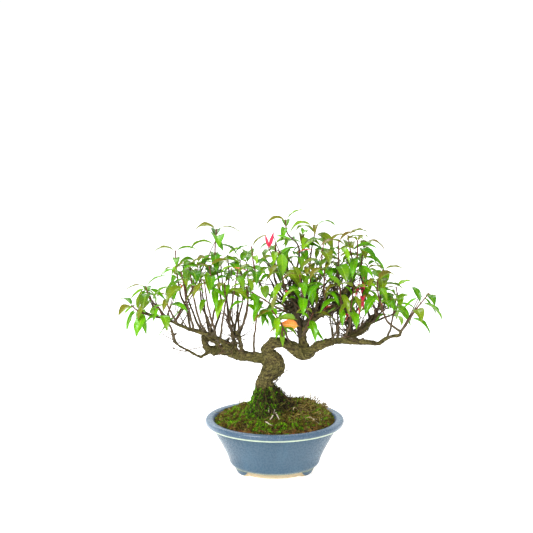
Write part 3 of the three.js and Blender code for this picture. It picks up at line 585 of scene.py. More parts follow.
def plainLook(name, roughness=0.9, grainScale=900, depth=0.0005, mottleShare=0.35):
    look = Look(name)
    mottle = look.grain(grainScale, 4, 0.6)
    shade = look.mix(look.rescale(mottle, 0.35, 0.68, 0, mottleShare), look.tint(), (0.02, 0.02, 0.012, 1))
    look.set(Base_Color=shade, Roughness=roughness, Specular_IOR_Level=0.25)
    look.set(Normal=look.bump(mottle, depth, 0.6))
    return look.material


mossTufts = {
    "spots": 13000, "blades": 5, "tall": (1.6, 4.2), "wide": 1.25, "lean": 0.9,
    "bright": (0.22, 1.8),  # how the blades' brightness varies
}


def tuft(pile, spots, normals, tints, tall, wide, lean):  # narrow blades that lean away from each spot
    many = len(spots)
    for _ in range(mossTufts["blades"]):
        turn = rng.uniform(0, fullTurn, many)
        flat = unit(np.cross(normals, np.array([0.3, 0.5, 0.8])))
        across = np.cross(normals, flat)
        out = flat * np.cos(turn)[:, None] + across * np.sin(turn)[:, None]
        height = rng.uniform(*tall, many)[:, None]
        way = unit(normals + out * rng.uniform(0.1, lean, many)[:, None])
        side = np.cross(way, out) * wide * 0.5
        root = spots + out * 0.25 * rng.uniform(0, 1, many)[:, None] - normals * 0.3
        shoulder = root + way * height * 0.6 + out * 0.1
        slim = side * 0.7
        corners = [root - side, root + side, shoulder + slim, root + way * height, shoulder - slim]
        faces = np.arange(many)[:, None] * 5 + np.arange(5)
        tint = tints * rng.uniform(*mossTufts["bright"], (many, 1))
        tint = np.repeat(tint, 5, axis=0).reshape(many, 5, 4)
        # painted shade: each blade is darkened at its root, where the blades crowd
        tint[:, :2] *= 0.22  # dark at the root
        tint[..., 3] = 1
        pile.add(np.stack(corners, 1), faces, tint.reshape(-1, 4))


def mossTint(vivid):
    calm = mixed(soilColours["oliveMoss"], soilColours["moss"], min(1, 1.6 * vivid))
    return mixed(calm, soilColours["brightMoss"], max(0, 1.8 * vivid - 1))


def mossPiece():
    pile = Pile()
    turn = rng.uniform(0, fullTurn, mossTufts["spots"])
    ring = np.sqrt(rng.uniform(0, 0.995, mossTufts["spots"])) * (soil["reach"] - 0.7)
    x, y = ring * np.cos(turn), ring * pot["depthRatio"] * np.sin(turn)
    green = mossiness(x, y)
    keep = (green > 0.02 + 0.72 * rng.uniform(0, 1, len(x))) & (np.hypot(x + 11.5, y) > 13)
    x, y, green = x[keep], y[keep], green[keep]
    step = 1.2
    slopeX = (soilHeight(x + step, y) - soilHeight(x - step, y)) / (2 * step)
    slopeY = (soilHeight(x, y + step) - soilHeight(x, y - step)) / (2 * step)
    normals = unit(np.column_stack([-slopeX, -slopeY, np.ones(len(x))]))
    spots = np.column_stack([x, y, soilHeight(x, y)])
    thick = 1.3 * np.maximum(0, green - 0.8) - 0.6 * (1 - green)
    vivid = np.clip(0.3 + 2.6 * lumps(spots, 3.6, 6.6) + thick, 0, 1)
    tints = np.array([mossTint(v) for v in vivid])
    foot = np.exp(-((x + 4) / 17) ** 2 - ((y + 17) / 14) ** 2)
    tints[:, :3] *= (1 - 0.5 * foot)[:, None]  # darker at the foot of the trunk
    tuft(pile, spots, normals, tints, mossTufts["tall"], mossTufts["wide"], mossTufts["lean"])
    look = plainLook("mossBlades", 0.85, 700, 0.0003, 0.3)
    return put(pile.mesh("mossTufts", [look], smooth=False), "mossy_soil")


litter = {
    "crumbs": 1900, "frontShare": 0.3, "crumbStretch": (1.4, 0.9, 0.7),
    "straws": 680, "strawThick": (0.46, 0.24), "strawReach": 71,
    "rootThick": (0.85, 0.45), "whiteRoots": 3,
    "roots": [  # pale dead roots on the moss, the three whitest first: x, y, lift above the soil
        [(-12, -42, 1.0), (-8, -45, 2.2), (-3, -49, 1.4)],
        [(1, -30, 3.2), (3, -34, 4.2), (5, -39, 2.0)],
        [(-6, -37, 2.4), (-2, -33, 4.0), (0, -27, 4.6)],
        [(-8, -30, 3.8), (-7, -25, 5.6), (-6, -22, 6.4)],
        [(44, -32, 0.8), (50, -28, 2.6), (56, -26, 1.2), (60, -22, 0.8)],
        [(40, -26, 0.8), (46, -24, 2.0), (52, -30, 1.4), (57, -32, 0.6)],
        [(36, -34, 0.6), (40, -29, 2.8), (47, -27, 1.8), (53, -22, 0.6)],
        [(22, -18, 0.6), (25, -12, 2.2), (31, -8, 0.8)],
        [(54, -14, 0.6), (60, -10, 2.4), (64, -4, 0.8)],
        [(-34, -18, 0.6), (-28, -24, 1.6), (-22, -26, 0.6)],
    ],
}


def crumb(a, b, c, d, e, f):  # one crumb of earth from six draws, with its colour
    front = a < litter["frontShare"]
    turn = math.radians(-165 + 150 * b) if front else fullTurn * b
    ring = 76 * ((0.9 + 0.08 * c) if front else math.sqrt(c) * 0.95)
    x, y = ring * math.cos(turn), ring * pot["depthRatio"] * math.sin(turn)
    size = 0.6 + 1.5 * d * d
    lift = size * 0.25 + (0 if front else 1.8 * f)
    twist = Matrix.Rotation(6.28 * e, 3, "Z") @ Matrix.Rotation(6.28 * f, 3, "X")
    base = np.array([x, y, soilHeight(x, y)[0] + lift])
    corners = []
    for axis, stretch in enumerate(litter["crumbStretch"]):
        for sign in (1, -1):
            corner = Vector((0, 0, 0))
            corner[axis] = sign * stretch * size
            corners.append(base + np.array(twist @ corner))
    fleck = soilColours["litter" if d > 0.5 else "dark"]
    return corners, mixed(soilColours["redEarth" if front else "earth"], fleck, e * 0.8)


def litterPiece():
    pile = Pile()
    faces = [(0, 2, 4), (2, 1, 4), (1, 3, 4), (3, 0, 4), (2, 0, 5), (1, 2, 5), (3, 1, 5), (0, 3, 5)]
    for chances in rng.uniform(0, 1, (litter["crumbs"], 6)):
        corners, shade = crumb(*chances)
        pile.add(corners, faces, shade)
    return put(pile.mesh("soilCrumbs", [plainLook("crumbs", 0.95, 1200)], smooth=False), "mossy_soil")


def onSoil(points):
    shares = np.linspace(0, 1, 14)
    path = Line([(x, y, 0) for x, y, _ in points]).at(shares)
    lift = np.interp(shares, np.linspace(0, 1, len(points)), [p[2] for p in points])
    path[:, 2] = soilHeight(path[:, 0], path[:, 1]) + lift
    return path


def strawPlace(index):  # a third lies anywhere, the rest on the right, and some of that at the back
    x, y = -70 + 140 * draw(index, 1), -50 + 100 * draw(index, 2)
    if index % 3:
        x, y = 66 - 62 * draw(index, 1) ** 2, -34 + 62 * draw(index, 2)
    if index % 3 == 2 and index % 2:
        x, y = 40 + 30 * draw(index, 1), 2 + 26 * draw(index, 2)
    return x, y


def straw(pile, index):
    x, y = strawPlace(index)
    if math.hypot(x, y / pot["depthRatio"]) > litter["strawReach"] or math.hypot(x + 11, y) < 20:
        return
    start = np.array([x, y, soilHeight(x, y)[0] - 0.5])
    turn, long = 6.283 * draw(index, 3), 4 + 7 * draw(index, 4)
    out = np.array([math.cos(turn), math.sin(turn), 0.2 + (1.6 if y > 8 else 0.8) * draw(index, 5)])
    bend = np.array([draw(index, 6) - 0.5, draw(index, 7) - 0.5, -0.7 * draw(index, 8)])
    shares = np.linspace(0, 1, 7)[:, None]
    path = start + out * long * shares + bend * long * shares ** 2
    path[:, 2] = np.maximum(path[:, 2], soilHeight(path[:, 0], path[:, 1]) + 0.1)
    shade = mixed(soilColours["straw"], soilColours["twig"], draw(index, 9))
    tube(pile, path, np.linspace(*litter["strawThick"], 7), 4, shade)


def rootPiece():
    pile = Pile()
    for index, points in enumerate(litter["roots"]):
        pale, stout = (0.08, 1) if index < litter["whiteRoots"] else (0.6, 0.75)
        shade = mixed(soilColours["root"], soilColours["straw"], pale * draw(index, 4) + pale * 0.4)
        tube(pile, onSoil(points), np.linspace(*litter["rootThick"], 14) * stout, 6, shade)
    for index in range(litter["straws"]):
        straw(pile, index)
    return put(pile.mesh("deadRootsAndStraw", [plainLook("strawAndRoots", 0.8, 900)]), "bark")


soilPiece()
mossPiece()
litterPiece()
rootPiece()
print("soil and moss ready")

# Wood
barkColours = palette({
    # pale stands partly for the bark's own pale tone and partly for a painted highlight on the knobs
    "bark": (112, 101, 52), "dark": (46, 37, 20), "pale": (162, 152, 90), "moss": (62, 76, 2),
})
stock = {
    "levels": [  # the root stock's height, middle x and y, and radius
        (52, -11, 0, 15), (70, -11, 0, 19), (82, -10, 0, 22.5), (90, -10, 0, 20.5), (97, -11.5, 0, 16.8),
        (104, -13.5, 0, 12.6), (112, -14, 0, 9.8), (121, -13, -1, 9.2),
    ],
    "lobes": 5, "lobeDepth": 0.11, "rings": 30, "sides": 40, "axis": [(-12, 0, 60, 20), (-13, 0, 112, 10)],
}
wood = {
    "voxel": 0.00082, "soften": 3, "step": 1.6, "sides": 16,
    "stoutTrunk": (7, 1.1),  # the factor on the radius of limbs that get thicker than 7
    "slimLeft": (-96, -38, 3, 0.76),  # the same for limbs around x = -96 to -38 that get thicker than 3
    "stoutRight": (75, 135, 2.2, 1.3),
    "mossLine": 115, "mossFade": 4, "mossRange": (78, 116),
}
# Centre lines of the wood: x, y, z and radius
limbs = {
    "trunkAndRight": [(-13, -1, 112, 9.6), (-13, -1, 120, 9.4), (-8, -2, 129, 10.4), (-2, -3, 138, 12.2),
        (-1, -4, 148, 11.4), (-7, -5, 156, 8.4), (-10, -6, 162, 6.6), (-7, -7, 168, 6.5),
        (-1, -8, 173, 6.2), (7, -8, 174, 6.1), (15, -7, 171, 6.2), (24, -5, 165, 6.6), (32, -3, 158, 7.2),
        (38, -2, 156, 7.2), (45, -2, 159, 6.3), (53, -3, 166, 5.3), (62, -4, 171, 4.9), (73, -6, 174, 4.4),
        (85, -8, 176, 4.1), (97, -10, 175, 3.8), (110, -12, 175, 3.2), (121, -14, 175, 2.9),
        (130, -15, 174, 2.8), (138, -16, 180, 2.3), (147, -17, 184, 2.1), (156, -18, 186, 2),
        (158, -18, 192, 1.7)],
    "rightRiser": [(85, -8, 176, 3.4), (98, -4, 181, 3.6), (108, 2, 185, 3.7), (116, 8, 191, 3.7),
        (124, 13, 197, 3.5), (130, 16, 203, 3)],
    "secondTrunk": [(37, -2, 157, 6.4), (36, 2, 167, 6.1), (35, 5, 178, 5.6), (32, 8, 189, 4.6),
        (29, 11, 202, 3.7), (28, 13, 213, 3.2), (29, 15, 224, 2.9), (27, 17, 234, 2.6), (24, 20, 243, 2.3)],
    "secondRight": [(35, 5, 181, 4.8), (42, 2, 194, 3.8), (51, -2, 204, 3.5), (61, -5, 211, 3.5),
        (70, -7, 217, 3.6), (79, -8, 222, 3.8), (83, -8, 232, 3.9), (88, -8, 240, 4.1), (93, -8, 247, 3.4)],
    "fan": [(29, 11, 204, 3), (24, 12, 207, 2.4), (18, 13, 211, 2.1)],
    "middleBack": [(30, 10, 198, 3.2), (26, 24, 212, 2.8), (16, 36, 226, 2.3)],
    "left": [(-4, -2, 145, 7), (-9, 0, 147, 7.1), (-16, 1, 150, 6.4), (-26, 2, 151, 5.7),
        (-37, 3, 152, 5.9), (-47, 4, 153, 5.9), (-57, 5, 156, 6), (-67, 6, 159, 5.8), (-77, 6, 159, 5.3),
        (-85, 5, 162, 4.6), (-89, 3, 171, 3.8), (-89, 1, 180, 3.2)],
    "leftFar": [(-55, 4, 160, 4.4), (-62, 2, 168, 3.8), (-69, -2, 175, 3.2), (-78, -6, 182, 3),
        (-87, -9, 186, 3), (-97, -11, 189, 2.8), (-106, -13, 192, 2.5), (-116, -15, 196, 2.3),
        (-126, -17, 202, 2), (-136, -19, 207, 1.7), (-146, -21, 210, 1.5)],
    "leftKnot": [(-44, 4, 156, 4), (-56, 10, 165, 3.9), (-68, 10, 171, 3.7), (-80, 6, 172, 3.4),
        (-89, 2, 176, 3)],
    "leftLoop": [(-74, 5, 162, 3.4), (-72, -3, 169, 3.1), (-80, -6, 176, 2.8), (-88, -6, 184, 2.6)],
    "leftRiser": [(-53, 3, 157, 4.2), (-51, 0, 172, 3.8), (-53, -2, 180, 3.7), (-54, -3, 187, 3.1)],
    "leftSmallRiser": [(-42, 2, 156, 3.6), (-43, -3, 170, 2.9), (-45, -5, 180, 2.7), (-48, -6, 187, 2.8)],
    "leftBack": [(-40, 4, 153, 4), (-44, 20, 164, 3.1), (-52, 34, 178, 2.5)],
    "leftLow": [(-82, 4, 159, 2.6), (-90, 1, 154, 1.9), (-94, 0, 152, 1.8), (-101, -3, 156, 1.6),
        (-109, -6, 162, 1.6), (-116, -8, 166, 1.5), (-122, -10, 171, 1.5), (-127, -12, 179, 1.5),
        (-130, -14, 190, 1.4)],
    "leftLowStub": [(-109, -6, 162, 1.3), (-114, -7, 161, 0.9)],
    "rightBack": [(92, -9, 175, 3.6), (97, 10, 184, 2.8), (94, 28, 196, 2.3)],
}
# Shoots: pairs of leaves, leaf length, the first pair's turn, and the stem's centre line
shoots = {
    "left_01": (3, 31, 0, [(-131, -18, 204), (-148, -22, 225), (-155, -24, 236), (-160, -26, 251)]),
    "left_02": (2, 28, 30, [(-136, -19, 207), (-143, -10, 215), (-149, -2, 222), (-151, 4, 230)]),
    "left_03": (2, 28, 70, [(-122, -16, 200), (-128, -26, 216), (-132, -34, 228), (-130, -38, 238)]),
    "left_04": (3, 30, 80, [(-146, -21, 210), (-162, -23, 215), (-169, -24, 218), (-178, -25, 226)]),
    "left_05": (4, 27, 0, [(-106, -13, 193), (-111, -10, 219), (-117, -8, 233), (-121, -6, 253),
        (-123, -4, 269), (-124, -3, 291)]),
    "left_06": (3, 28, 20, [(-102, -12, 191), (-106, -20, 213), (-110, -28, 235), (-112, -33, 254),
        (-115, -36, 272)]),
    "left_07": (3, 30, 60, [(-92, -10, 188), (-103, -2, 210), (-110, 6, 228), (-114, 11, 246),
        (-116, 16, 266)]),
    "left_08": (3, 29, 15, [(-86, -9, 186), (-94, -13, 202), (-99, -18, 224), (-103, -22, 253),
        (-105, -24, 279)]),
    "left_09": (3, 29, 45, [(-78, -6, 182), (-84, -2, 201), (-92, 4, 219), (-95, 10, 244), (-98, 15, 272)]),
    "left_10": (4, 32, 10, [(-82, -8, 184), (-77, -12, 209), (-74, -16, 228), (-77, -19, 247),
        (-81, -22, 275)]),
    "left_11": (6, 33, 0, [(-77, -6, 182), (-73, -1, 198), (-68, 3, 217), (-70, 6, 244), (-75, 8, 282),
        (-73, 8, 316)]),
    "left_12": (3, 28, 30, [(-52, 1, 172), (-58, 12, 192), (-61, 18, 218), (-58, 21, 250), (-60, 22, 280)]),
    "left_13": (3, 31, 75, [(-69, -2, 175), (-66, -14, 200), (-62, -22, 226), (-62, -27, 255)]),
    "left_14": (3, 30, 20, [(-54, -3, 186), (-57, -8, 201), (-54, -11, 223), (-49, -14, 250),
        (-46, -16, 270)]),
    "left_15": (3, 29, 50, [(-52, -1, 178), (-48, 10, 201), (-46, 18, 226), (-43, 22, 249), (-44, 24, 272)]),
    "left_16": (3, 29, 0, [(-44, -4, 176), (-46, 4, 200), (-41, 6, 222), (-38, 8, 250)]),
    "left_17": (3, 29, 35, [(-48, -6, 186), (-39, -12, 201), (-34, -18, 220), (-35, -22, 250)]),
    "left_18": (2, 28, 40, [(-126, -12, 177), (-131, -24, 200), (-139, -31, 214), (-144, -35, 226)]),
    "left_19": (3, 29, 10, [(-52, 34, 178), (-60, 42, 205), (-67, 47, 236), (-70, 49, 268)]),
    "left_20": (3, 29, 55, [(-47, 25, 169), (-38, 38, 195), (-34, 44, 225), (-36, 47, 265)]),
    "left_21": (3, 28, 25, [(-82, 6, 168), (-88, 22, 200), (-93, 32, 230), (-96, 36, 262)]),
    "left_22": (3, 28, 65, [(-74, -4, 179), (-78, -26, 205), (-83, -38, 232), (-86, -45, 260)]),
    "middle_01": (5, 30, 20, [(18, 13, 211), (5, 4, 223), (-11, -4, 238), (-21, -10, 255), (-27, -12, 279),
        (-29, -12, 298)]),
    "middle_02": (5, 31, 0, [(23, 12, 207), (10, 20, 228), (0, 23, 246), (0, 20, 272), (1, 17, 297)]),
    "middle_03": (4, 31, 60, [(28, 12, 213), (19, 2, 232), (11, -8, 251), (8, -14, 275)]),
    "middle_04": (3, 28, 10, [(29, 10, 199), (14, -4, 212), (-4, -16, 225), (-18, -20, 235),
        (-29, -24, 243)]),
    "middle_05": (6, 31, 0, [(24, 20, 243), (28, 18, 264), (31, 16, 285), (28, 15, 296), (16, 14, 309),
        (13, 13, 327)]),
    "middle_06": (4, 29, 50, [(29, 12, 212), (38, 18, 236), (44, 24, 268), (48, 22, 296), (53, 18, 319)]),
    "middle_07": (5, 30, 15, [(52, -2, 205), (53, -10, 235), (57, -16, 265), (58, -18, 288), (60, -18, 305)]),
    "middle_08": (4, 31, 70, [(30, 10, 200), (42, -2, 226), (44, -10, 249), (43, -14, 272)]),
    "middle_09": (2, 28, 0, [(20, -6, 168), (12, -20, 192), (5, -28, 208), (-4, -32, 222)]),
    "middle_10": (1, 22, 0, [(12, -8, 172), (9, -18, 185), (9, -26, 197)]),
    "middle_11": (2, 31, 20, [(36, 4, 176), (38, -14, 192), (42, -24, 204), (47, -30, 218)]),
    "middle_12": (3, 30, 0, [(36, 3, 174), (28, 6, 190), (17, 5, 206), (9, 1, 222)]),
    "middle_13": (2, 25, 40, [(-26, 1, 152), (-26, -4, 180), (-23, -8, 204), (-20, -9, 222)]),
    "middle_14": (4, 29, 30, [(16, 36, 226), (8, 44, 248), (3, 46, 268), (1, 46, 290)]),
    "middle_15": (4, 29, 65, [(22, 30, 218), (31, 40, 245), (35, 44, 275), (35, 45, 302)]),
    "middle_16": (4, 30, 10, [(46, 0, 198), (41, -20, 216), (34, -32, 240), (30, -38, 268)]),
    "middle_17": (4, 30, 45, [(61, -5, 211), (62, -26, 232), (60, -38, 252), (60, -42, 276)]),
    "right_01": (4, 29, 0, [(92, -8, 246), (98, -2, 269), (94, 2, 291), (91, 4, 309)]),
    "right_02": (5, 31, 20, [(80, -8, 225), (77, -18, 255), (78, -24, 280), (78, -26, 308)]),
    "right_03": (5, 31, 0, [(121, 11, 194), (116, 14, 222), (110, 12, 250), (109, 7, 275), (113, 4, 302)]),
    "right_04": (4, 29, 60, [(86, -8, 237), (97, -18, 262), (101, -22, 286), (101, -24, 308)]),
    "right_05": (4, 31, 0, [(130, 16, 203), (133, 6, 227), (132, 0, 247), (135, -4, 267)]),
    "right_06": (4, 30, 35, [(158, -18, 190), (141, -20, 204), (132, -24, 225), (127, -28, 243),
        (126, -30, 259)]),
    "right_07": (4, 30, 70, [(158, -18, 191), (164, -18, 200), (176, -17, 219), (189, -16, 236)]),
    "right_08": (4, 28, 10, [(117, 8, 192), (138, 20, 197), (153, 24, 203), (158, 25, 217), (155, 26, 237)]),
    "right_09": (3, 28, 50, [(141, -16, 181), (146, -8, 194), (149, -4, 209), (152, -2, 226)]),
    "right_10": (4, 29, 15, [(86, -8, 176), (93, -18, 197), (94, -26, 222), (97, -33, 252)]),
    "right_11": (3, 29, 55, [(103, -1, 183), (105, -8, 207), (108, -12, 230), (112, -14, 250)]),
    "right_12": (4, 29, 25, [(71, -6, 174), (80, -16, 199), (82, -26, 222), (79, -34, 254)]),
    "right_13": (4, 29, 0, [(94, 28, 196), (86, 40, 222), (82, 44, 248), (82, 45, 272)]),
    "right_14": (4, 29, 45, [(97, 19, 190), (112, 32, 218), (118, 38, 240), (119, 41, 262)]),
}


def radiusAlong(line, shares):
    return np.interp(shares * (len(line) - 1), np.arange(len(line)), [p[3] for p in line])


def stockAt(height):
    heights = [level[0] for level in stock["levels"]]
    return [np.interp(height, heights, [level[k] for level in stock["levels"]]) for k in (1, 2, 3)]


def addStock(pile):
    turn = ringOf(stock["sides"])
    low, high = stock["levels"][0][0], stock["levels"][-1][0]
    rings = []
    for height in np.linspace(low, high, stock["rings"]):
        x, y, radius = stockAt(height)
        lobes = stock["lobeDepth"] * min(1, (high - height) / 24) * np.cos(stock["lobes"] * turn + 0.6)
        reach = radius * (1 + lobes)
        level = np.full(len(turn), height)
        rings.append(np.column_stack([x + reach * np.cos(turn), y + reach * np.sin(turn), level]))
    pile.add(np.array(rings), gridFaces(stock["rings"], stock["sides"], True), white)
    ends = np.arange(stock["sides"])[None, :]
    pile.cap(np.concatenate([ends[:, ::-1] - pile.count, ends - stock["sides"]]))


def stoutness(middle, radius):
    trunkRadius, trunkFactor = wood["stoutTrunk"]
    if radius > trunkRadius:
        return trunkFactor
    for low, high, least, factor in (wood["slimLeft"], wood["stoutRight"]):
        if low < middle < high and radius > least:
            return factor
    return 1


def rawWood():
    pile = Pile()
    addStock(pile)
    for index, line in enumerate(limbs.values()):
        curve = Line(line)
        shares = np.linspace(0, 1, max(6, int(curve.length / wood["step"])))
        path = curve.at(shares)
        radii = radiusAlong(line, shares)
        swell = np.array([noise.noise(Vector((s * curve.length / 9, index * 3.7, 0))) for s in shares])
        radii = radii * stoutness(path[:, 0].mean(), radii.max()) * (1 + 0.22 * swell)
        tube(pile, path, radii, wood["sides"], white)
    return pile


def woodAxes():  # samples of all centre lines, to lay the bark's grain along each limb
    spots, ways, alongs, radii = [], [], [], []
    for index, line in enumerate([stock["axis"]] + list(limbs.values())):
        curve = Line(line)
        shares = np.linspace(0, 1, max(3, int(curve.length)))
        path = curve.at(shares)
        spots += list(path)
        ways += list(unit(np.gradient(path, axis=0)))
        alongs += list(shares * curve.length + 57.0 * index)
        radii += list(radiusAlong(line, shares))
    return spots, ways, alongs, radii


def treeOf(points):  # for looking up the nearest of many points
    tree = kdtree.KDTree(len(points))
    for index, point in enumerate(points):
        tree.insert(Vector(point), index)
    tree.balance()
    return tree


def joinedWood():
    raw = rawWood().mesh("rawWood", [])
    remesh = raw.modifiers.new("join", "REMESH")
    remesh.mode = "VOXEL"
    remesh.voxel_size = wood["voxel"]
    smooth = raw.modifiers.new("soften", "SMOOTH")
    smooth.factor, smooth.iterations = 0.5, wood["soften"]
    solid = raw.evaluated_get(bpy.context.evaluated_depsgraph_get())
    made = bpy.data.meshes.new_from_object(solid)
    bpy.data.objects.remove(raw)
    return made


def roughness(p, scale, lift=0.0):
    return noise.noise(Vector((p[0] / scale, p[1] / scale, p[2] / scale + lift)))


def barkTint(p, furrow, knobs, gnarl, crumbly, mossy):
    film = max(0.0, roughness(p, 19, 7) + 0.25) * 0.35
    # darker in the furrows and paler on the knobs the bark is pushed out by: partly the bark's own tone,
    # partly painted shade in the furrows and a painted highlight on the knobs
    tone = share01(0.45 + 0.9 * furrow + 0.35 * crumbly)
    base = mixed(barkColours["bark"], barkColours["pale"], 0.35 + 0.4 * knobs)
    base = mixed(mixed(barkColours["dark"], base, tone), barkColours["moss"], film)
    fresh = share01(crumbly - 0.1 + (-p[0] - 20) / 14)
    moss = mixed(barkColours["moss"], soilColours["brightMoss"], fresh)
    return mixed(base, moss, mossy * (0.75 + 0.3 * gnarl))[:3] + [mossy]


def barkAt(p, spot, way, along, thick):  # how far the bark stands out at a place, and its colour there
    offset = p - spot
    along = along + offset.dot(way)
    around = offset - way * offset.dot(way)
    furrow = roughness(Vector((around[0] + 9.1 * way[0], around[1], around[2])), 1.5, along / 3.4)
    knobs, gnarl, crumbly = roughness(p, 6.5), roughness(p, 3.1, 9), roughness(p, 1.9, 40)
    left = share01((-p[0] - 25) / 30) * (p[2] > 140)
    knobbly = (knobs * (1.5 + 1.7 * left) + 1.1 * gnarl) * min(1, thick / 6)
    push = min(1, thick / 5) * (0.5 * furrow + 0.5 * crumbly) + knobbly
    mossy = share01((wood["mossLine"] - p[2]) / wood["mossFade"] + 1.1 * roughness(p, 6))
    mossy *= 1 - 0.55 * math.exp(-((p[0] + 3) / 8) ** 2) * (p[1] < -6) * (0.6 + crumbly)
    if p[2] < wood["mossLine"] - 1:
        push += (0.9 + 1.1 * roughness(p, 4)) * mossy
    return push, barkTint(p, furrow, knobs, gnarl, crumbly, mossy)


def treePiece():
    made = joinedWood()
    count = len(made.vertices)
    places, normals = np.zeros(count * 3), np.zeros(count * 3)
    made.vertices.foreach_get("co", places)
    made.vertices.foreach_get("normal", normals)
    places, normals = fromFrame(places.reshape(-1, 3)), normals.reshape(-1, 3)
    spots, ways, alongs, radii = woodAxes()
    tree = treeOf(spots)
    push, tints = np.zeros(count), np.zeros((count, 4))
    for k, place in enumerate(places):
        nearest = tree.find(Vector(place))[1]
        push[k], tints[k] = barkAt(place, spots[nearest], ways[nearest], alongs[nearest], radii[nearest])
    low, high = [fromFrame(corner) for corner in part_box("tree")]
    places = np.clip(places + normals * push[:, None], low, high)
    made.vertices.foreach_set("co", toFrame(places).ravel())
    layer = made.color_attributes.new(name="tint", type="FLOAT_COLOR", domain="POINT")
    layer.data.foreach_set("color", tints.ravel())
    made.polygons.foreach_set("use_smooth", np.full(len(made.polygons), True))
    made.materials.clear()
    made.materials.append(barkLook())
    made.update()
    put(thingOf("barkedTree", made), "bark", "tree")
    low, high = wood["mossRange"]
    mossy = (tints[:, 3] > 0.3) & (places[:, 2] > low) & (places[:, 2] < high)
    return places[mossy], normals[mossy], tints[mossy, 3]


def barkLook():
    look = Look("bark")
    fine = look.grain(1300, 5, 0.65)
    flakes = look.cells(700)
    shade = look.mix(look.rescale(fine, 0.42, 0.66, 0, 0.65), look.tint(), linear(44, 34, 24))
    shade = look.mix(look.rescale(flakes, 0.25, 0.05, 0, 0.22), shade, linear(156, 146, 112))
    shade = look.mix(look.rescale(look.grain(480, 3), 0.42, 0.32, 0, 0.75), shade, linear(34, 26, 18))
    look.set(Base_Color=shade, Roughness=0.88, Specular_IOR_Level=0.25)
    look.set(Normal=look.bump(look.add(fine, look.times(flakes, -0.6)), 0.0016, 0.9))
    return look.material


footMoss = {"share": 0.34, "tall": (0.8, 1.7), "wide": 0.5, "lean": 0.9}


def footMossPiece(places, normals, shares):
    pile = Pile()
    chosen = rng.uniform(0, 1, len(places)) < footMoss["share"] * shares
    spots, ways = places[chosen], unit(normals[chosen] + zAxis * 0.4)
    vivid = rng.uniform(0, 1, len(spots)) * np.clip((-spots[:, 0] - 4) / 22, 0.15, 0.9)
    tints = np.array([mixed(soilColours["deepMoss"], soilColours["brightMoss"], v) for v in vivid])
    tuft(pile, spots, ways, tints, footMoss["tall"], footMoss["wide"], footMoss["lean"])
    look = plainLook("footMossBlades", 0.85, 700, 0.0003, 0.3)
    return put(pile.mesh("footMoss", [look], smooth=False), "mossy_soil")


footMossPiece(*treePiece())
print("wood ready")

# Leaves
leafRule = {
    "pairSpacing": 10, "slenderness": 0.163, "steps": 25, "topPairDown": 1.7, "growth": 1.13,
    "youngShare": 0.88, "near": 0.15,  # how near a tip has to come to a corner of the solid
}
leafTries = [  # the ways in which a leaf may hang: turned by, droop and length as shares
    (0, 1, 1), (14, 1, 1), (-14, 1, 1), (0, 1.6, 0.95), (0, 0.5, 0.95), (28, 1.1, 0.9), (-28, 1.1, 0.9),
    (0, 1, 0.78), (20, 0.8, 0.75), (-20, 0.8, 0.75), (40, 1, 0.7), (-40, 1, 0.7), (0, 1.3, 0.6),
]
leafForm = {"along": 20, "across": 6, "stalk": 0.1, "fold": 0.36, "wave": 0.014, "twist": 18}
leafColours = palette({
    "bright": (98, 170, 6), "mid": (66, 138, 6), "deep": (26, 88, 10), "lime": (138, 184, 20),
    "olive": (116, 112, 26), "bronze": (118, 74, 44), "red": (242, 46, 88), "orange": (250, 136, 44),
    "yellow": (240, 200, 90), "redEdge": (236, 92, 44), "stem": (98, 72, 52), "youngStem": (112, 58, 44),
    "old": (92, 82, 62),
})


def nearestOnWood(point):
    best = (1e9, None)
    for line in limbs.values():
        for a, b in zip(line, line[1:]):
            a, b = np.array(a[:3], float), np.array(b[:3], float)
            share = share01((point - a).dot(b - a) / (b - a).dot(b - a))
            close = a + (b - a) * share
            best = min(best, (np.linalg.norm(close - point), tuple(close)))
    return np.array(best[1])


def ribOf(base, start, length, droop):
    heading = unit(start)
    rib = [np.array(base, float)]
    for _ in range(leafRule["steps"]):
        heading = unit(heading - zAxis * droop / leafRule["steps"])
        rib.append(rib[-1] + heading * length / leafRule["steps"])
    return np.array(rib)


def pairDowns(pairs, seed):  # how far each pair of leaves sits below the stem's tip
    downs = [leafRule["topPairDown"]]
    for pair in range(pairs):
        downs.append(downs[-1] + leafRule["pairSpacing"] * (0.9 + 0.3 * draw(seed, pair + 100)))
    return downs[:-1]


def leafSlots(shoot, curve, seed):
    pairs, leaf, turned, _ = shoot
    for pair, down in enumerate(pairDowns(pairs, seed)):
        share = 1 - down / curve.length
        ahead = curve.tangents(share)[0]
        side = unit(np.cross((0, 1, 0), ahead))
        for half in (0, 1):
            index = 2 * pair + half
            young = 1 if pair else leafRule["youngShare"]
            yield {
                "pair": pair, "index": index, "base": curve.points(share)[0],
                "ahead": ahead, "side": side, "across": np.cross(ahead, side),
                "turn": turned + 90 * pair + 180 * half + 16 * (draw(seed, index) - 0.5),
                "rise": (34 if pair else 44) + 18 * (draw(seed, index + 20) - 0.5),
                "length": leafRule["growth"] * leaf * young * (0.9 + 0.25 * draw(seed, index + 40)),
                "droop": (1.3 if pair else 1.1) + draw(seed, index + 60),
                "roll": 30 * (draw(seed, index + 80) - 0.5),
            }


def leafOf(slot, attempt):
    turned, drooped, shortened = attempt
    around, rise = math.radians(slot["turn"] + turned), math.radians(slot["rise"])
    out = slot["side"] * math.cos(around) + slot["across"] * math.sin(around)
    start = out * math.cos(rise) + slot["ahead"] * math.sin(rise)
    length = slot["length"] * shortened
    return start, length, ribOf(slot["base"], start, length, slot["droop"] * drooped)


def hangLeaf(slot, tips):  # the first way to hang a leaf in which its tip is one of the solid's corners
    for attempt in leafTries:
        start, length, rib = leafOf(slot, attempt)
        if tips.find(Vector(rib[-1]))[2] < leafRule["near"]:
            return start, length, rib
    return None


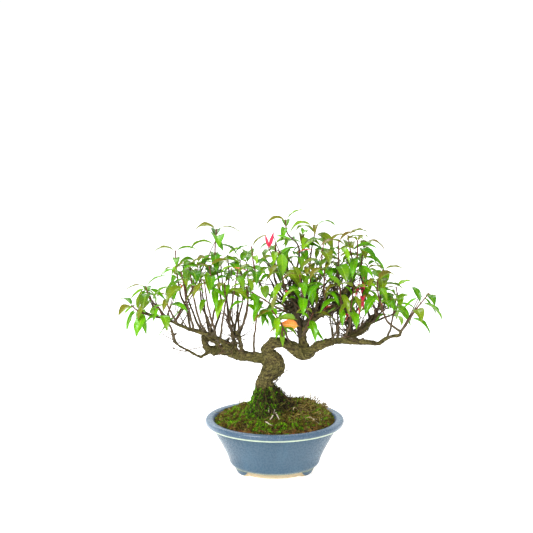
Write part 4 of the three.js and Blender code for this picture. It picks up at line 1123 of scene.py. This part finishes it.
def blade(pile, rib, start, length, roll, halfWidth, tint, seed, tipTint=None):
    shares = np.linspace(0, 1, leafForm["along"] + 1)
    places = shares * (len(rib) - 1)
    path = np.column_stack([np.interp(places, np.arange(len(rib)), rib[:, k]) for k in range(3)])
    ahead = unit(np.gradient(path, axis=0))
    side = np.tile(unit(np.cross(start, zAxis)), (len(path), 1))
    turn = np.radians(roll + leafForm["twist"] * (draw(seed, 1) - 0.5) * shares ** 1.5)[:, None]
    flat = side * np.cos(turn) + np.cross(ahead, side) * np.sin(turn)
    over = np.cross(flat, ahead)
    u = np.clip((shares - leafForm["stalk"]) / (1 - leafForm["stalk"]), 0, 1)
    width = halfWidth * np.sin(math.pi * u ** 0.76) ** 1.1 + 0.42 * (1 - u) ** 3 + 0.03
    t = np.linspace(-1, 1, leafForm["across"] + 1)
    gutter = leafForm["fold"] * (0.6 + 0.8 * draw(seed, 2))
    wave = leafForm["wave"] * length * (0.5 + draw(seed, 3))
    phase = shares[:, None] * (2.2 + draw(seed, 4)) + draw(seed, 5) + 0.25 * np.sign(t)
    ripple = wave * np.sin(fullTurn * phase) * t ** 2 * np.sin(math.pi * u)[:, None]
    lift = np.abs(t) ** 1.25 * width[:, None] * gutter + ripple
    spread = flat[:, None] * (width[:, None] * t * math.cos(gutter))[..., None]
    tip = tint if tipTint is None else tipTint
    tints = np.array([mixed(tint, tip, s ** 1.4) for s in shares])
    uvs = np.stack(np.meshgrid(shares, (t + 1) / 2, indexing="ij"), -1)[..., ::-1]
    verts = path[:, None] + spread + over[:, None] * lift[..., None]
    pile.add(verts, gridFaces(len(shares), len(t)), np.repeat(tints, len(t), axis=0), uvs)


leafShades = {  # in the darker patches, along the veins, on the underside, and with light behind the leaf
    "leaf": [(30, 84, 8), (150, 196, 40), (136, 168, 50), (160, 220, 10)],
    "redLeaf": [(150, 16, 46), (246, 110, 130), (240, 84, 108), (255, 50, 80)],
    "turnedLeaf": [(170, 60, 30), (250, 200, 150), (240, 150, 90), (255, 150, 60)],
}


def leafLook(name, sheen=1.0):
    dark, vein, under, glow = [linear(*shade) for shade in leafShades[name]]
    look = Look(name)
    u, v, _ = look.xyz(look.node("ShaderNodeUVMap", uv_map="UVMap").outputs[0])
    off = look.math("ABSOLUTE", look.times(look.minus(u, 0.5), 2.0))
    midrib = look.rescale(off, 0.11, 0.03)
    ribs = look.math("SINE", look.times(look.minus(look.times(v, 9.0), look.times(off, 1.3)), fullTurn))
    veins = look.times(look.rescale(ribs, 0.75, 1.0), look.rescale(off, 0.98, 0.7))
    mottle = look.grain(260, 4, 0.6)
    back = look.node("ShaderNodeNewGeometry").outputs["Backfacing"]
    patches = look.mix(0.55, look.tint(), dark)
    shade = look.mix(look.rescale(mottle, 0.35, 0.7, 0, 0.5), look.tint(), patches)
    shade = look.mix(look.times(veins, 0.28), shade, vein)
    shade = look.mix(look.times(midrib, 0.62), shade, vein)
    shade = look.mix(look.times(back, 0.4), shade, under)
    gloss = look.rescale(mottle, 0.3, 0.7, 0.2, 0.36)
    look.set(Base_Color=shade, Roughness=gloss, Specular_IOR_Level=0.26 * sheen)
    look.set(Coat_Weight=0.2 * sheen, Coat_Roughness=0.16)
    relief = look.minus(look.times(mottle, 0.5), look.add(look.times(veins, 0.35), midrib))
    look.set(Normal=look.bump(relief, 0.0004, 0.55))
    through = look.node("ShaderNodeBsdfTranslucent")
    look.link(look.mix(0.35, shade, glow), through.inputs["Color"])
    both = look.node("ShaderNodeMixShader")
    both.inputs[0].default_value = 0.24
    look.link(look.surface.outputs[0], both.inputs[1])
    look.link(through.outputs[0], both.inputs[2])
    look.link(both.outputs[0], look.output.inputs["Surface"])
    return look.material


def stemNoise(shares, *place):
    return np.array([noise.noise(Vector((s, *place))) for s in shares])


def stemTube(pile, curve, seed, downs, foot=1.5, tip=0.72):
    shares = np.linspace(0, 1, max(8, int(curve.length / 1.5)))
    path = curve.points(shares)
    up, down = shares * curve.length, (1 - shares) * curve.length
    calm = np.clip((down - (downs[-1] if downs else 0)) / 12, 0, 1) * np.clip(up / 6, 0, 1)
    for axis in range(3):
        path[:, axis] += 1.1 * calm * stemNoise(up / 11, seed * 5.3, axis * 7.1)
    radii = np.interp(shares, [0, 0.12, 1], [foot * 1.15, foot, tip])
    radii = radii * (1 + 0.14 * stemNoise(up / 2.3, seed * 3.1, 9))
    joints = downs + [downs[-1] + 9.5 * k for k in range(1, 20)] if downs else []
    for joint in joints:  # the swellings where leaves sit or have sat
        radii += 0.26 * np.exp(-((down - joint) / 0.8) ** 2)
    tints = []
    for s in shares:
        aged = mixed(leafColours["old"], leafColours["stem"], min(1, 1.6 * s))
        tints.append(mixed(aged, leafColours["youngStem"], max(0, 2.2 * s - 1.2)))
    tube(pile, path, radii, 7, np.array(tints), 1)


def leafTone(seed, slot, young):
    a, b = draw(seed, slot["index"] + 200), draw(seed, slot["index"] + 240)
    fresh = mixed(leafColours["mid"], leafColours["bright"], a)
    if slot["pair"] == 0 and b < young:
        return mixed(leafColours["olive"], leafColours["bronze"], a * 0.9)
    if b > 0.86:
        return mixed(fresh, leafColours["lime"], 0.8)
    if b > 0.7:
        return mixed(fresh, leafColours["deep"], 0.75)
    if slot["pair"] < 3 and b < young * 0.45:
        return mixed(fresh, leafColours["olive"], 0.75)
    return fresh


youngShares = {"left": 0.3, "middle": 0.55, "right": 0.7}  # the share of young, bronze leaves at the tips
leafMaterial = leafLook("leaf")
stemMaterial = plainLook("stemBark", 0.8, 1300, 0.0004, 0.5)


def shootPiece(name, shoot, seed):
    node = "leafy_shoot_" + name
    curve = Line([nearestOnWood(np.array(shoot[3][0], float))] + shoot[3][1:])
    tips = treeOf([fromFrame(corner.co) for corner in frame["nodes"][node].data.vertices])
    young = youngShares[name.split("_")[0]]
    pile, leaves = Pile(), 0
    for slot in leafSlots(shoot, curve, seed):
        hung = hangLeaf(slot, tips)
        if not hung:
            continue
        start, length, rib = hung
        index = slot["index"]
        tint = leafTone(seed, slot, young)
        half = length * leafRule["slenderness"] * (0.72 + 0.68 * draw(seed, index + 300) ** 1.5)
        tip = mixed(tint, leafColours["bronze"], 0.5) if draw(seed, index + 320) > 0.75 else None
        blade(pile, rib, start, length, slot["roll"], half, tint, seed * 40 + index, tip)
        leaves += 1
    stemTube(pile, curve, seed, pairDowns(shoot[0], seed))
    put(pile.mesh("shoot_" + name, [leafMaterial, stemMaterial]), "green_leaf", node)
    return leaves


found = {name: shoot for name, shoot in shoots.items() if "leafy_shoot_" + name in frame["nodes"]}
seeds = {name: index + 1 for index, name in enumerate(shoots)}
leafCount = sum(shootPiece(name, shoot, seeds[name]) for name, shoot in found.items())
print("leafy shoots ready:", leafCount, "leaves")

# Old leaves that have turned orange and red
oldLeaves = {  # stem, slot, half width over length, and each leaf's heading, length, droop and roll
    "old_leaf_orange": (
        [(33, 7, 189), (33, -1, 192), (31, -6, 194)], "orange_leaf", 0.27,
        [((-1, -0.2, 0.25), 27, 0.15, -62)]),
    "old_leaves_red_top": (
        [(0, 19, 270), (-4, 18, 280), (-8, 17, 290)], "red_leaf", 0.095,
        [((-0.25, -0.1, 1), 20, 0, 60), ((0.3, 0.1, 1), 23, 0, 75)]),
    "old_leaves_red_right": (
        [(111, 8, 262), (107, -1, 256), (106, -5, 250)], "red_leaf", 0.095,
        [((0.3, -0.2, -1), 24, 0.3, 30), ((-0.35, -0.3, -1), 21, 0.3, -40)]),
}
oldLooks = {  # material, colour at the foot and at the tip
    "red_leaf": (leafLook("redLeaf", 0.7), leafColours["red"], leafColours["red"]),
    "orange_leaf": (leafLook("turnedLeaf", 0.7), leafColours["yellow"], leafColours["orange"]),
}


def reddenEdge(pile):  # the orange leaf is redder along one edge
    across = np.tile(np.linspace(0, 1, leafForm["across"] + 1), leafForm["along"] + 1)[:, None]
    toRed = np.array(leafColours["redEdge"]) - pile.tints[-1]
    pile.tints[-1] = pile.tints[-1] + toRed * 0.7 * across ** 2.2


def oldLeafPiece(number, node):
    stem, slotName, slender, leaves = oldLeaves[node]
    material, colour, tip = oldLooks[slotName]
    pile = Pile()
    curve = Line(stem)
    stemTube(pile, curve, 90 + number, [], 0.9, 0.6)
    root = curve.points(1)[0] - curve.tangents(1)[0] * 0.95
    for order, (start, length, droop, roll) in enumerate(leaves):
        start = unit(start)
        rib = ribOf(root, start, length, droop)
        blade(pile, rib, start, length, roll, length * slender, colour, 900 + 10 * number + order, tip)
        if slotName == "orange_leaf":
            reddenEdge(pile)
    return put(pile.mesh(node + "_dressed", [material, stemMaterial]), slotName, node)


for number, node in enumerate(oldLeaves):
    if node in frame["nodes"]:
        oldLeafPiece(number, node)
print("old leaves ready")

# Twigs, boughs and single leaves among the branches
turnedBits = [  # foot of the leaf, heading, length, colour
    ((109, -8, 262), (0.1, -0.2, -1), 9, "red"), ((101, -9, 254), (0.6, -0.3, 0.3), 7, "orange"),
    ((59, -12, 222), (1, -0.3, 0.1), 12, "orange"), ((84, -10, 210), (1, -0.2, 0.2), 12, "red"),
    ((133, -6, 226), (0.1, -0.2, -1), 11, "red"), ((-54, -10, 270), (1, -0.2, 0.1), 22, "orange"),
    ((46, -8, 293), (-1, -0.2, 0.1), 19, "orange"), ((12, -16, 242), (1, -0.3, 0), 8, "red"),
    ((-118, -8, 250), (0.4, -0.3, -1), 8, "orange"), ((104, -14, 250), (-0.2, -0.2, -1), 22, "red"),
    ((106, -15, 238), (0.3, -0.2, -1), 20, "red"), ((90, -12, 222), (-0.8, -0.2, -0.6), 12, "red"),
    ((4, 4, 284), (0.2, -0.3, 1), 9, "red"), ((104, -27, 215), (0.25, 0.1, 1), 27, "red"),
    ((110, -16, 260), (0.05, -0.1, -1), 17, "red"), ((95, -16, 213), (-0.6, -0.1, -0.6), 14, "orange"),
    ((71, -14, 224), (-0.9, -0.1, -0.4), 14, "red"),
]
extraLeaves = [  # base, end, half width and for some the roll of leaves seen one by one in the photograph
    ((-11, -12, 219), (-21, -16, 205), 3.2), ((-11, -12, 219), (-16, -15, 195), 3),
    ((-11, -12, 217), (-2, -16, 199), 3.4), ((-11, -12, 219), (-22, -10, 218), 2.4),
    ((-3, -11, 212), (-1, -14, 187), 2.8), ((8, -12, 197), (1, -17, 180), 3),
    ((8, -12, 197), (10, -19, 170), 3), ((8, -12, 197), (16, -14, 183), 2.6),
    ((38, -12, 196), (62, -20, 178), 4.4), ((8, -14, 291), (10, -20, 261), 5),
    ((136, -10, 241), (153, -14, 212), 4.6), ((85, -12, 275), (89, -18, 254), 5),
    ((90, -12, 229), (102, -17, 202), 3.6), ((62, -12, 242), (83, -15, 230), 4),
    ((32, -12, 234), (34, -16, 215), 3.4), ((28, -8, 203), (2, -10, 206), 4.4, 62),
    ((78, -15, 221), (60, -18, 209), 3, 30), ((99, -12, 269), (93, -16, 249), 4.2),
    ((-161, -10, 244), (-182, -14, 229), 3.6), ((-161, -10, 243), (-171, -16, 223), 3.8),
    ((-158, -10, 244), (-135, -13, 228), 3.6), ((-173, -9, 223), (-191, -12, 209), 3.4),
    ((-175, -10, 218), (-186, -14, 189), 3.2), ((-169, -10, 216), (-161, -14, 183), 3.2),
    ((-173, -12, 221), (-147, -15, 229), 3.2), ((-81, -12, 288), (-94, -16, 268), 3.2),
    ((-73, -10, 306), (-64, -14, 292), 3), ((-86, -14, 268), (-81, -18, 237), 4),
    ((-123, -12, 252), (-126, -17, 229), 4), ((-2, -14, 311), (22, -17, 306), 3.6),
    ((33, -14, 264), (39, -18, 245), 4.2), ((-24, -12, 252), (-40, -15, 258), 3),
    ((121, -12, 250), (110, -17, 229), 4.6), ((123, -13, 223), (105, -17, 214), 3.6),
    ((184, -8, 234), (205, -12, 206), 3.4), ((180, -8, 232), (159, -12, 216), 3.4),
    ((-104, -8, 224), (-128, -12, 206), 2.2), ((-122, -9, 210), (-148, -12, 180), 2),
]
twigRule = {
    "count": 190, "long": (10, 34), "thick": (0.5, 1.0), "kink": 0.34, "lift": 0.04, "step": 3.5,
    "fork": 0.3, "forks": 2, "seenThick": 0.9, "thickest": 12, "lowest": 160,
    "dense": (5, 112), "open": (0, 45),  # from x to x: where twigs crowd, and where they stay back
}
twigTable = [  # foot, heading, length: twigs seen one by one in the photograph
    ((-6, -3, 107), (1, -0.05, 0.3), 30), ((-3, -8, 96), (1, -0.3, 0.5), 12),
    ((30, 2, 186), (0.9, -0.2, 0.6), 34), ((40, 0, 205), (-0.5, -0.2, 1), 30),
    ((62, 0, 215), (0.4, -0.3, 1), 28), ((50, -2, 232), (1, -0.2, 0.1), 40),
    ((24, 0, 215), (0.9, -0.3, 0.4), 44), ((74, 0, 238), (-0.7, -0.2, 0.6), 30),
    ((-60, -2, 232), (-0.5, -0.2, 1), 34), ((-84, 0, 226), (0.4, -0.3, 1), 30),
    ((-96, 0, 232), (-0.8, -0.2, 0.7), 30), ((20, -4, 240), (0.5, -0.3, 1), 36),
]
boughs = [  # gnarled boughs inside the crown: x, y, z, radius
    [(33, 2, 178, 3.0), (30, 3, 200, 2.6), (25, 4, 222, 2.3), (20, 5, 244, 1.6), (25, 4, 264, 0.9)],
    [(29, 4, 202, 2.3), (15, 6, 220, 1.8), (1, 8, 238, 1.4), (-9, 8, 258, 0.8)],
    [(36, 0, 194, 2.4), (52, -2, 203, 2.1), (67, -2, 210, 1.9), (80, 0, 214, 1.8)],
    [(80, 0, 210, 2.6), (82, 0, 222, 3.0), (92, 1, 232, 2.8), (99, 2, 243, 2.2), (91, 3, 256, 1.2)],
    [(38, 3, 196, 2.0), (48, 4, 214, 1.7), (44, 5, 234, 1.4), (56, 5, 254, 0.8)],
    [(58, -1, 206, 1.8), (67, 2, 222, 1.6), (61, 4, 238, 1.3), (72, 5, 258, 0.8)],
]
inner = {
    "fan": 36, "rise": 20, "foot": (0.7, 1.7), "tip": 0.5, "crooks": (0.2, 0.4, 0.6, 0.8),
    "sideTwigs": (9, 14, 19), "sideThick": 0.75, "boughSteps": 40,
    "stubs": 84, "stubThick": (2.1, 1.1), "stubOn": 2.5, "stubLowest": 165,
}


def woodShade(share):
    return mixed(leafColours["old"], leafColours["stem"], share)


def twig(pile, foot, heading, long, thick, seed, depth=0):
    count = max(4, int(long / twigRule["step"]))
    way, path = unit(heading), [np.array(foot, float)]
    for k in range(count):
        bend = np.array(draws(seed, 3 * k, 3)) - 0.5
        way = unit(way + twigRule["kink"] * bend + twigRule["lift"] * zAxis)
        path.append(path[-1] + way * long / count)
        if depth < twigRule["forks"] and k and draw(seed, k + 60) < twigRule["fork"] / (depth + 1):
            side = unit(way + 1.5 * (np.array(draws(seed, k + 70, 3)) - 0.5))
            shorter = long * (0.25 + 0.35 * draw(seed, k + 80))
            twig(pile, path[-1], side, shorter, thick * 0.6, seed + 0.37 * (k + 1), depth + 1)
    radii = np.linspace(thick, max(0.4, thick * 0.5), len(path))
    tube(pile, np.array(path), radii, 5, woodShade(draw(seed, 50)))


def seenTwigs(pile):
    for index, (foot, heading, long) in enumerate(twigTable):
        twig(pile, nearestOnWood(np.array(foot, float)), heading, long, twigRule["seenThick"], 500 + index)


def footOn(lines, index, seed, low, span):  # a place on one of the lines, from two draws
    line = Line(lines[int(draw(index, seed) * len(lines))])
    return line.points(low + span * draw(index, seed + 1))[0]


def scatteredTwigs(pile):
    lines = [line for line in limbs.values() if max(p[3] for p in line) < twigRule["thickest"]]
    low, high = twigRule["long"]
    for index in range(twigRule["count"]):
        foot = footOn(lines, index, 301, 0.15, 0.8)
        dense = twigRule["dense"][0] < foot[0] < twigRule["dense"][1]
        if foot[2] < twigRule["lowest"] or (not dense and index % 3):
            continue
        a, b, c, d, e = draws(index, 303, 5)
        forward = 0.2 if twigRule["open"][0] < foot[0] < twigRule["open"][1] else 1
        heading = (2 * a - 1, 1.6 * b - forward, 1.3 * c - 0.3)
        thick = np.interp(e, [0, 1], twigRule["thick"]) * (1.25 if dense else 0.8)
        twig(pile, foot, heading, low + (high - low) * d ** 2, thick, index + 0.5)


def innerEnds(index):  # foot and end of one thin bough: a fan from the fork, then rising ones on the right
    a, b, c, d, e = draws(index, 400, 5)
    if index < inner["fan"]:
        foot, end = (26 + 26 * a, 4 * b, 172 + 50 * b), (-18 + 132 * c, -14 + 44 * d, 228 + 58 * e)
    else:
        foot, end = (58 + 66 * a, 2, 192), (50 + 90 * a + 24 * (c - 0.5), -12 + 30 * d, 218 + 40 * b)
    return nearestOnWood(np.array(foot, float)), np.array(end)


def thinBoughs(pile):
    low, high = inner["foot"]
    for index in range(inner["fan"] + inner["rise"]):
        foot, end = innerEnds(index)
        crooks = [foot]
        for k, share in enumerate(inner["crooks"]):
            crook = np.array([8, 7, 8]) * draws(index, 410 + 3 * k, 3) - [4, 3, 4]
            crooks.append(foot + (end - foot) * share + crook)
        path = Line(crooks + [end]).points(np.linspace(0, 1, 26))
        thick = low + (high - low) * draw(index, 406) ** 1.6
        tube(pile, path, np.linspace(thick, inner["tip"], 26), 6, woodShade(draw(index, 407)))
        for k in inner["sideTwigs"]:
            a, b, c, d = draws(index, 430 + k, 4)
            side = (2 * a - 1, b - 0.6, 1.4 * c - 0.4)
            twig(pile, path[k], side, 8 + 12 * d, inner["sideThick"], index + 0.01 * k, 1)


def gnarledBoughs(pile):
    shares = np.linspace(0, 1, inner["boughSteps"])
    for points in boughs:
        path = Line(points).points(shares)
        knots = np.array([noise.noise(Vector(p) * 0.16) + 0.6 * noise.noise(Vector(p) * 0.4) for p in path])
        path += 1.1 * np.array([noise.noise_vector(Vector(p) * 0.09) for p in path])
        radii = np.maximum(radiusAlong(points, shares) * (1 + 0.45 * knots), inner["tip"])
        tube(pile, path, radii, 9, mixed(leafColours["old"], barkColours["dark"], 0.5))


def woodStubs(pile):  # what is left of cut twigs
    lines = [line for line in limbs.values() if max(p[3] for p in line) > inner["stubOn"]]
    for index in range(inner["stubs"]):
        foot = footOn(lines, index, 501, 0.1, 0.85)
        if foot[2] <= inner["stubLowest"]:
            continue
        a, b, c, d, e = draws(index, 503, 5)
        path = foot + unit((2 * a - 1, b - 0.8, 1.5 * c - 0.3)) * np.linspace(0, 5 + 5 * d, 6)[:, None]
        path[2:] += 0.8 * (e - 0.5)
        tube(pile, path, np.linspace(*inner["stubThick"], 6), 6, leafColours["old"])


def singleLeafPiece(twigs):
    pile = Pile()
    shares = np.linspace(0, 1, leafRule["steps"] + 1)[:, None]
    for index, (base, end, half, *tilt) in enumerate(extraLeaves):
        base, end = np.array(base, float), np.array(end, float)
        foot = nearestOnWood(base)
        lineTube(twigs, [foot, (foot + base) / 2 + [0, 2, -3], base], 18, 1.0, 0.5, 5, leafColours["stem"])
        long = np.linalg.norm(end - base)
        middle = 0.55 * base + 0.45 * end + [0, -3, 0.16 * long]
        rib = base * (1 - shares) ** 2 + 2 * shares * (1 - shares) * middle + end * shares ** 2
        tint = mixed(leafColours["mid"], leafColours["bright" if index % 3 else "lime"], draw(index, 33))
        roll = tilt[0] if tilt else 24 * (draw(index, 34) - 0.5)
        blade(pile, rib, unit(rib[4] - rib[0]), long, roll, 1.35 * half, tint, 800 + index)
    return put(pile.mesh("singleLeaves", [leafMaterial]), "green_leaf")


def turnedLeaves(twigs):
    pile = Pile()
    for index, (foot, heading, long, colour) in enumerate(turnedBits):
        foot = np.array(foot, float)
        start = nearestOnWood(foot)
        middle = (start + foot) / 2 + np.array([2, 3, 4]) * (draw(index, 9) - 0.3)
        lineTube(twigs, [start, middle, foot], 16, 0.8, 0.4, 5, leafColours["stem"])
        rib = ribOf(foot, heading, long, 0.5)
        tint, tip = leafColours[colour], leafColours["red"]
        blade(pile, rib, unit(heading), long, 40 * draw(index, 5), long * 0.12, tint, 700 + index, tip)
    return pile


def twigPieces():
    twigs = Pile()
    for grow in (seenTwigs, scatteredTwigs, thinBoughs, gnarledBoughs, woodStubs, singleLeafPiece):
        grow(twigs)
    turned = turnedLeaves(twigs)
    put(twigs.mesh("bareTwigs", [stemMaterial]), "bark")
    put(turned.mesh("smallTurnedLeaves", [oldLooks["red_leaf"][0]]), "red_leaf")


twigPieces()
print("twigs ready")

# Fibrous roots and moss that spread from the trunk's foot over the soil
footRoots = {
    "count": 420, "turn": (-135, 25), "top": (92, 117), "reach": (24, 42), "steps": 12,
    "thick": (0.55, 0.3), "bareEvery": 5,  # only one in so many is seen as a root, the rest carries moss
    "spread": 1.2, "tall": (1.0, 2.6), "wide": 0.8, "lean": 1.1,
}


def footRootPath(index):
    spots = zip(draws(index, 600, 3), ("turn", "top", "reach"))
    turn, top, reach = [np.interp(share, (0, 1), footRoots[key]) for share, key in spots]
    sway = draw(index, 603)
    x, y, start = stockAt(top)
    steps = np.linspace(0, 1, footRoots["steps"])
    out = start + 0.3 + (reach - start) * steps
    bend = math.radians(turn) + 0.5 * (sway - 0.5) * steps + 0.06 * np.sin(9 * steps + 6 * sway)
    x, y = x + out * np.cos(bend), y + out * np.sin(bend)
    z = top + (soilHeight(x[-1], y[-1])[0] - top) * steps ** (1.2 + 0.5 * draw(index, 605))
    return np.column_stack([x, y, np.maximum(z, soilHeight(x, y) + 0.2)])


def footTint(green):
    calm = mixed(soilColours["darkFibre"], soilColours["deepMoss"], min(1, 2 * green))
    return mixed(calm, soilColours["brightMoss"], max(0, 1.7 * green - 0.8))


def footRootPiece():
    pile, spots = Pile(), []
    for index in range(footRoots["count"]):
        path = footRootPath(index)
        spots.append(path[2:])
        if index % footRoots["bareEvery"] == 0:
            other = soilColours["moss"] if draw(index, 603) > 0.6 else barkColours["dark"]
            shade = mixed(soilColours["fibre"], other, draw(index, 606) * 0.9)
            tube(pile, path, np.linspace(*footRoots["thick"], len(path)), 5, shade)
    spots = np.vstack(spots)
    spots += rng.normal(0, footRoots["spread"], spots.shape)
    normals = unit(np.column_stack([spots[:, 0] + 11, spots[:, 1], np.full(len(spots), 14.0)]))
    green = np.clip(0.5 + 1.9 * lumps(spots, 4.2, 3.3) - (spots[:, 0] + 12) / 34, 0, 1)
    tints = np.array([footTint(share) for share in green])
    tints[:, :3] *= np.clip(0.9 + 1.5 * lumps(spots, 2.6, 7.1), 0.3, 1.4)[:, None]
    tuft(pile, spots, normals, tints, footRoots["tall"], footRoots["wide"], footRoots["lean"])
    return put(pile.mesh("footRoots", [plainLook("fibrousRoots", 0.9, 900)], smooth=False), "mossy_soil")


footRootPiece()
print("foot ready")

# Floor, light and camera
studio = {
    "floorReach": 400.0, "paper": [(0.93, 0.93, 0.93, 1), (0.95, 0.95, 0.95, 1)], "paperGlow": 0.66,
    "skyRamp": (0.05, 0.6, 0.7, 0.34),  # between these heights the strength goes from 0.7 to 0.34
    "target": (0, 0, 0.16),
    "lamps": [  # place and size in metres, power in watts
        ((-1.0, -1.5, 1.9), 1.0, 84), ((1.6, -0.9, 1.2), 1.2, 8), ((-0.3, 1.6, 1.8), 1.2, 22),
    ],
}
view = {  # the photograph's own: degrees, millimetres, pixels
    "pitch": 12.9, "right": -10.5, "up": 263.0, "away": 1600.0,
    "pixels": 1231.0, "frame": 533.0, "sensor": 36.0, "clipEnd": 1500,
}


def paperFloor():
    reach = studio["floorReach"]
    made = bpy.data.meshes.new("studioFloor")
    corners = [(-reach, -reach, 0), (reach, -reach, 0), (reach, reach, 0), (-reach, reach, 0)]
    made.from_pydata(corners, [], [(0, 1, 2, 3)])
    studioFloor = thingOf("studioFloor", made)
    look = Look("studioPaper")
    look.set(Base_Color=look.mix(look.grain(3, 2), *studio["paper"]), Roughness=0.7, Specular_IOR_Level=0.1)
    look.set(Emission_Color=white, Emission_Strength=studio["paperGlow"])
    made.materials.append(look.material)


def studioSky():
    sky = bpy.data.worlds.new("studioLight")
    sky.use_nodes = True
    nodes, links = sky.node_tree.nodes, sky.node_tree.links
    background = nodes["Background"]
    background.inputs[0].default_value = white
    kinds = ("TexCoord", "SeparateXYZ", "MapRange")
    place, split, ramp = [nodes.new("ShaderNode" + kind) for kind in kinds]
    links.new(place.outputs["Generated"], split.inputs[0])
    links.new(split.outputs[2], ramp.inputs[0])
    for socket, value in enumerate(studio["skyRamp"]):
        ramp.inputs[socket + 1].default_value = value
    links.new(ramp.outputs[0], background.inputs[1])
    bpy.context.scene.world = sky


def studioLamps():
    for place, size, power in studio["lamps"]:
        lamp = bpy.data.lights.new("softbox", "AREA")
        lamp.shape, lamp.size, lamp.energy = "SQUARE", size, power
        holder = thingOf("softbox", lamp)
        holder.location = place
        heading = Vector(studio["target"]) - Vector(place)
        holder.rotation_euler = heading.to_track_quat("-Z", "Y").to_euler()


def photoCamera():
    tilt = math.radians(view["pitch"])
    upWay = np.array([0, math.sin(tilt), math.cos(tilt)])
    ahead = np.array([0, math.cos(tilt), -math.sin(tilt)])
    spot = np.array([view["right"], 0, 0]) + upWay * view["up"] - ahead * view["away"]
    lens = bpy.data.cameras.new("photoCamera")
    lens.sensor_width = view["sensor"]
    lens.lens = view["pixels"] / view["frame"] * view["sensor"]
    lens.clip_end = view["clipEnd"]
    camera = thingOf("photoCamera", lens)
    camera.location = toFrame(spot)
    camera.rotation_euler = (math.radians(90 - view["pitch"]), 0, 0)
    bpy.context.scene.camera = camera


paperFloor()
studioSky()
studioLamps()
photoCamera()
bpy.context.scene.view_settings.view_transform = "Standard"
print("studio ready")
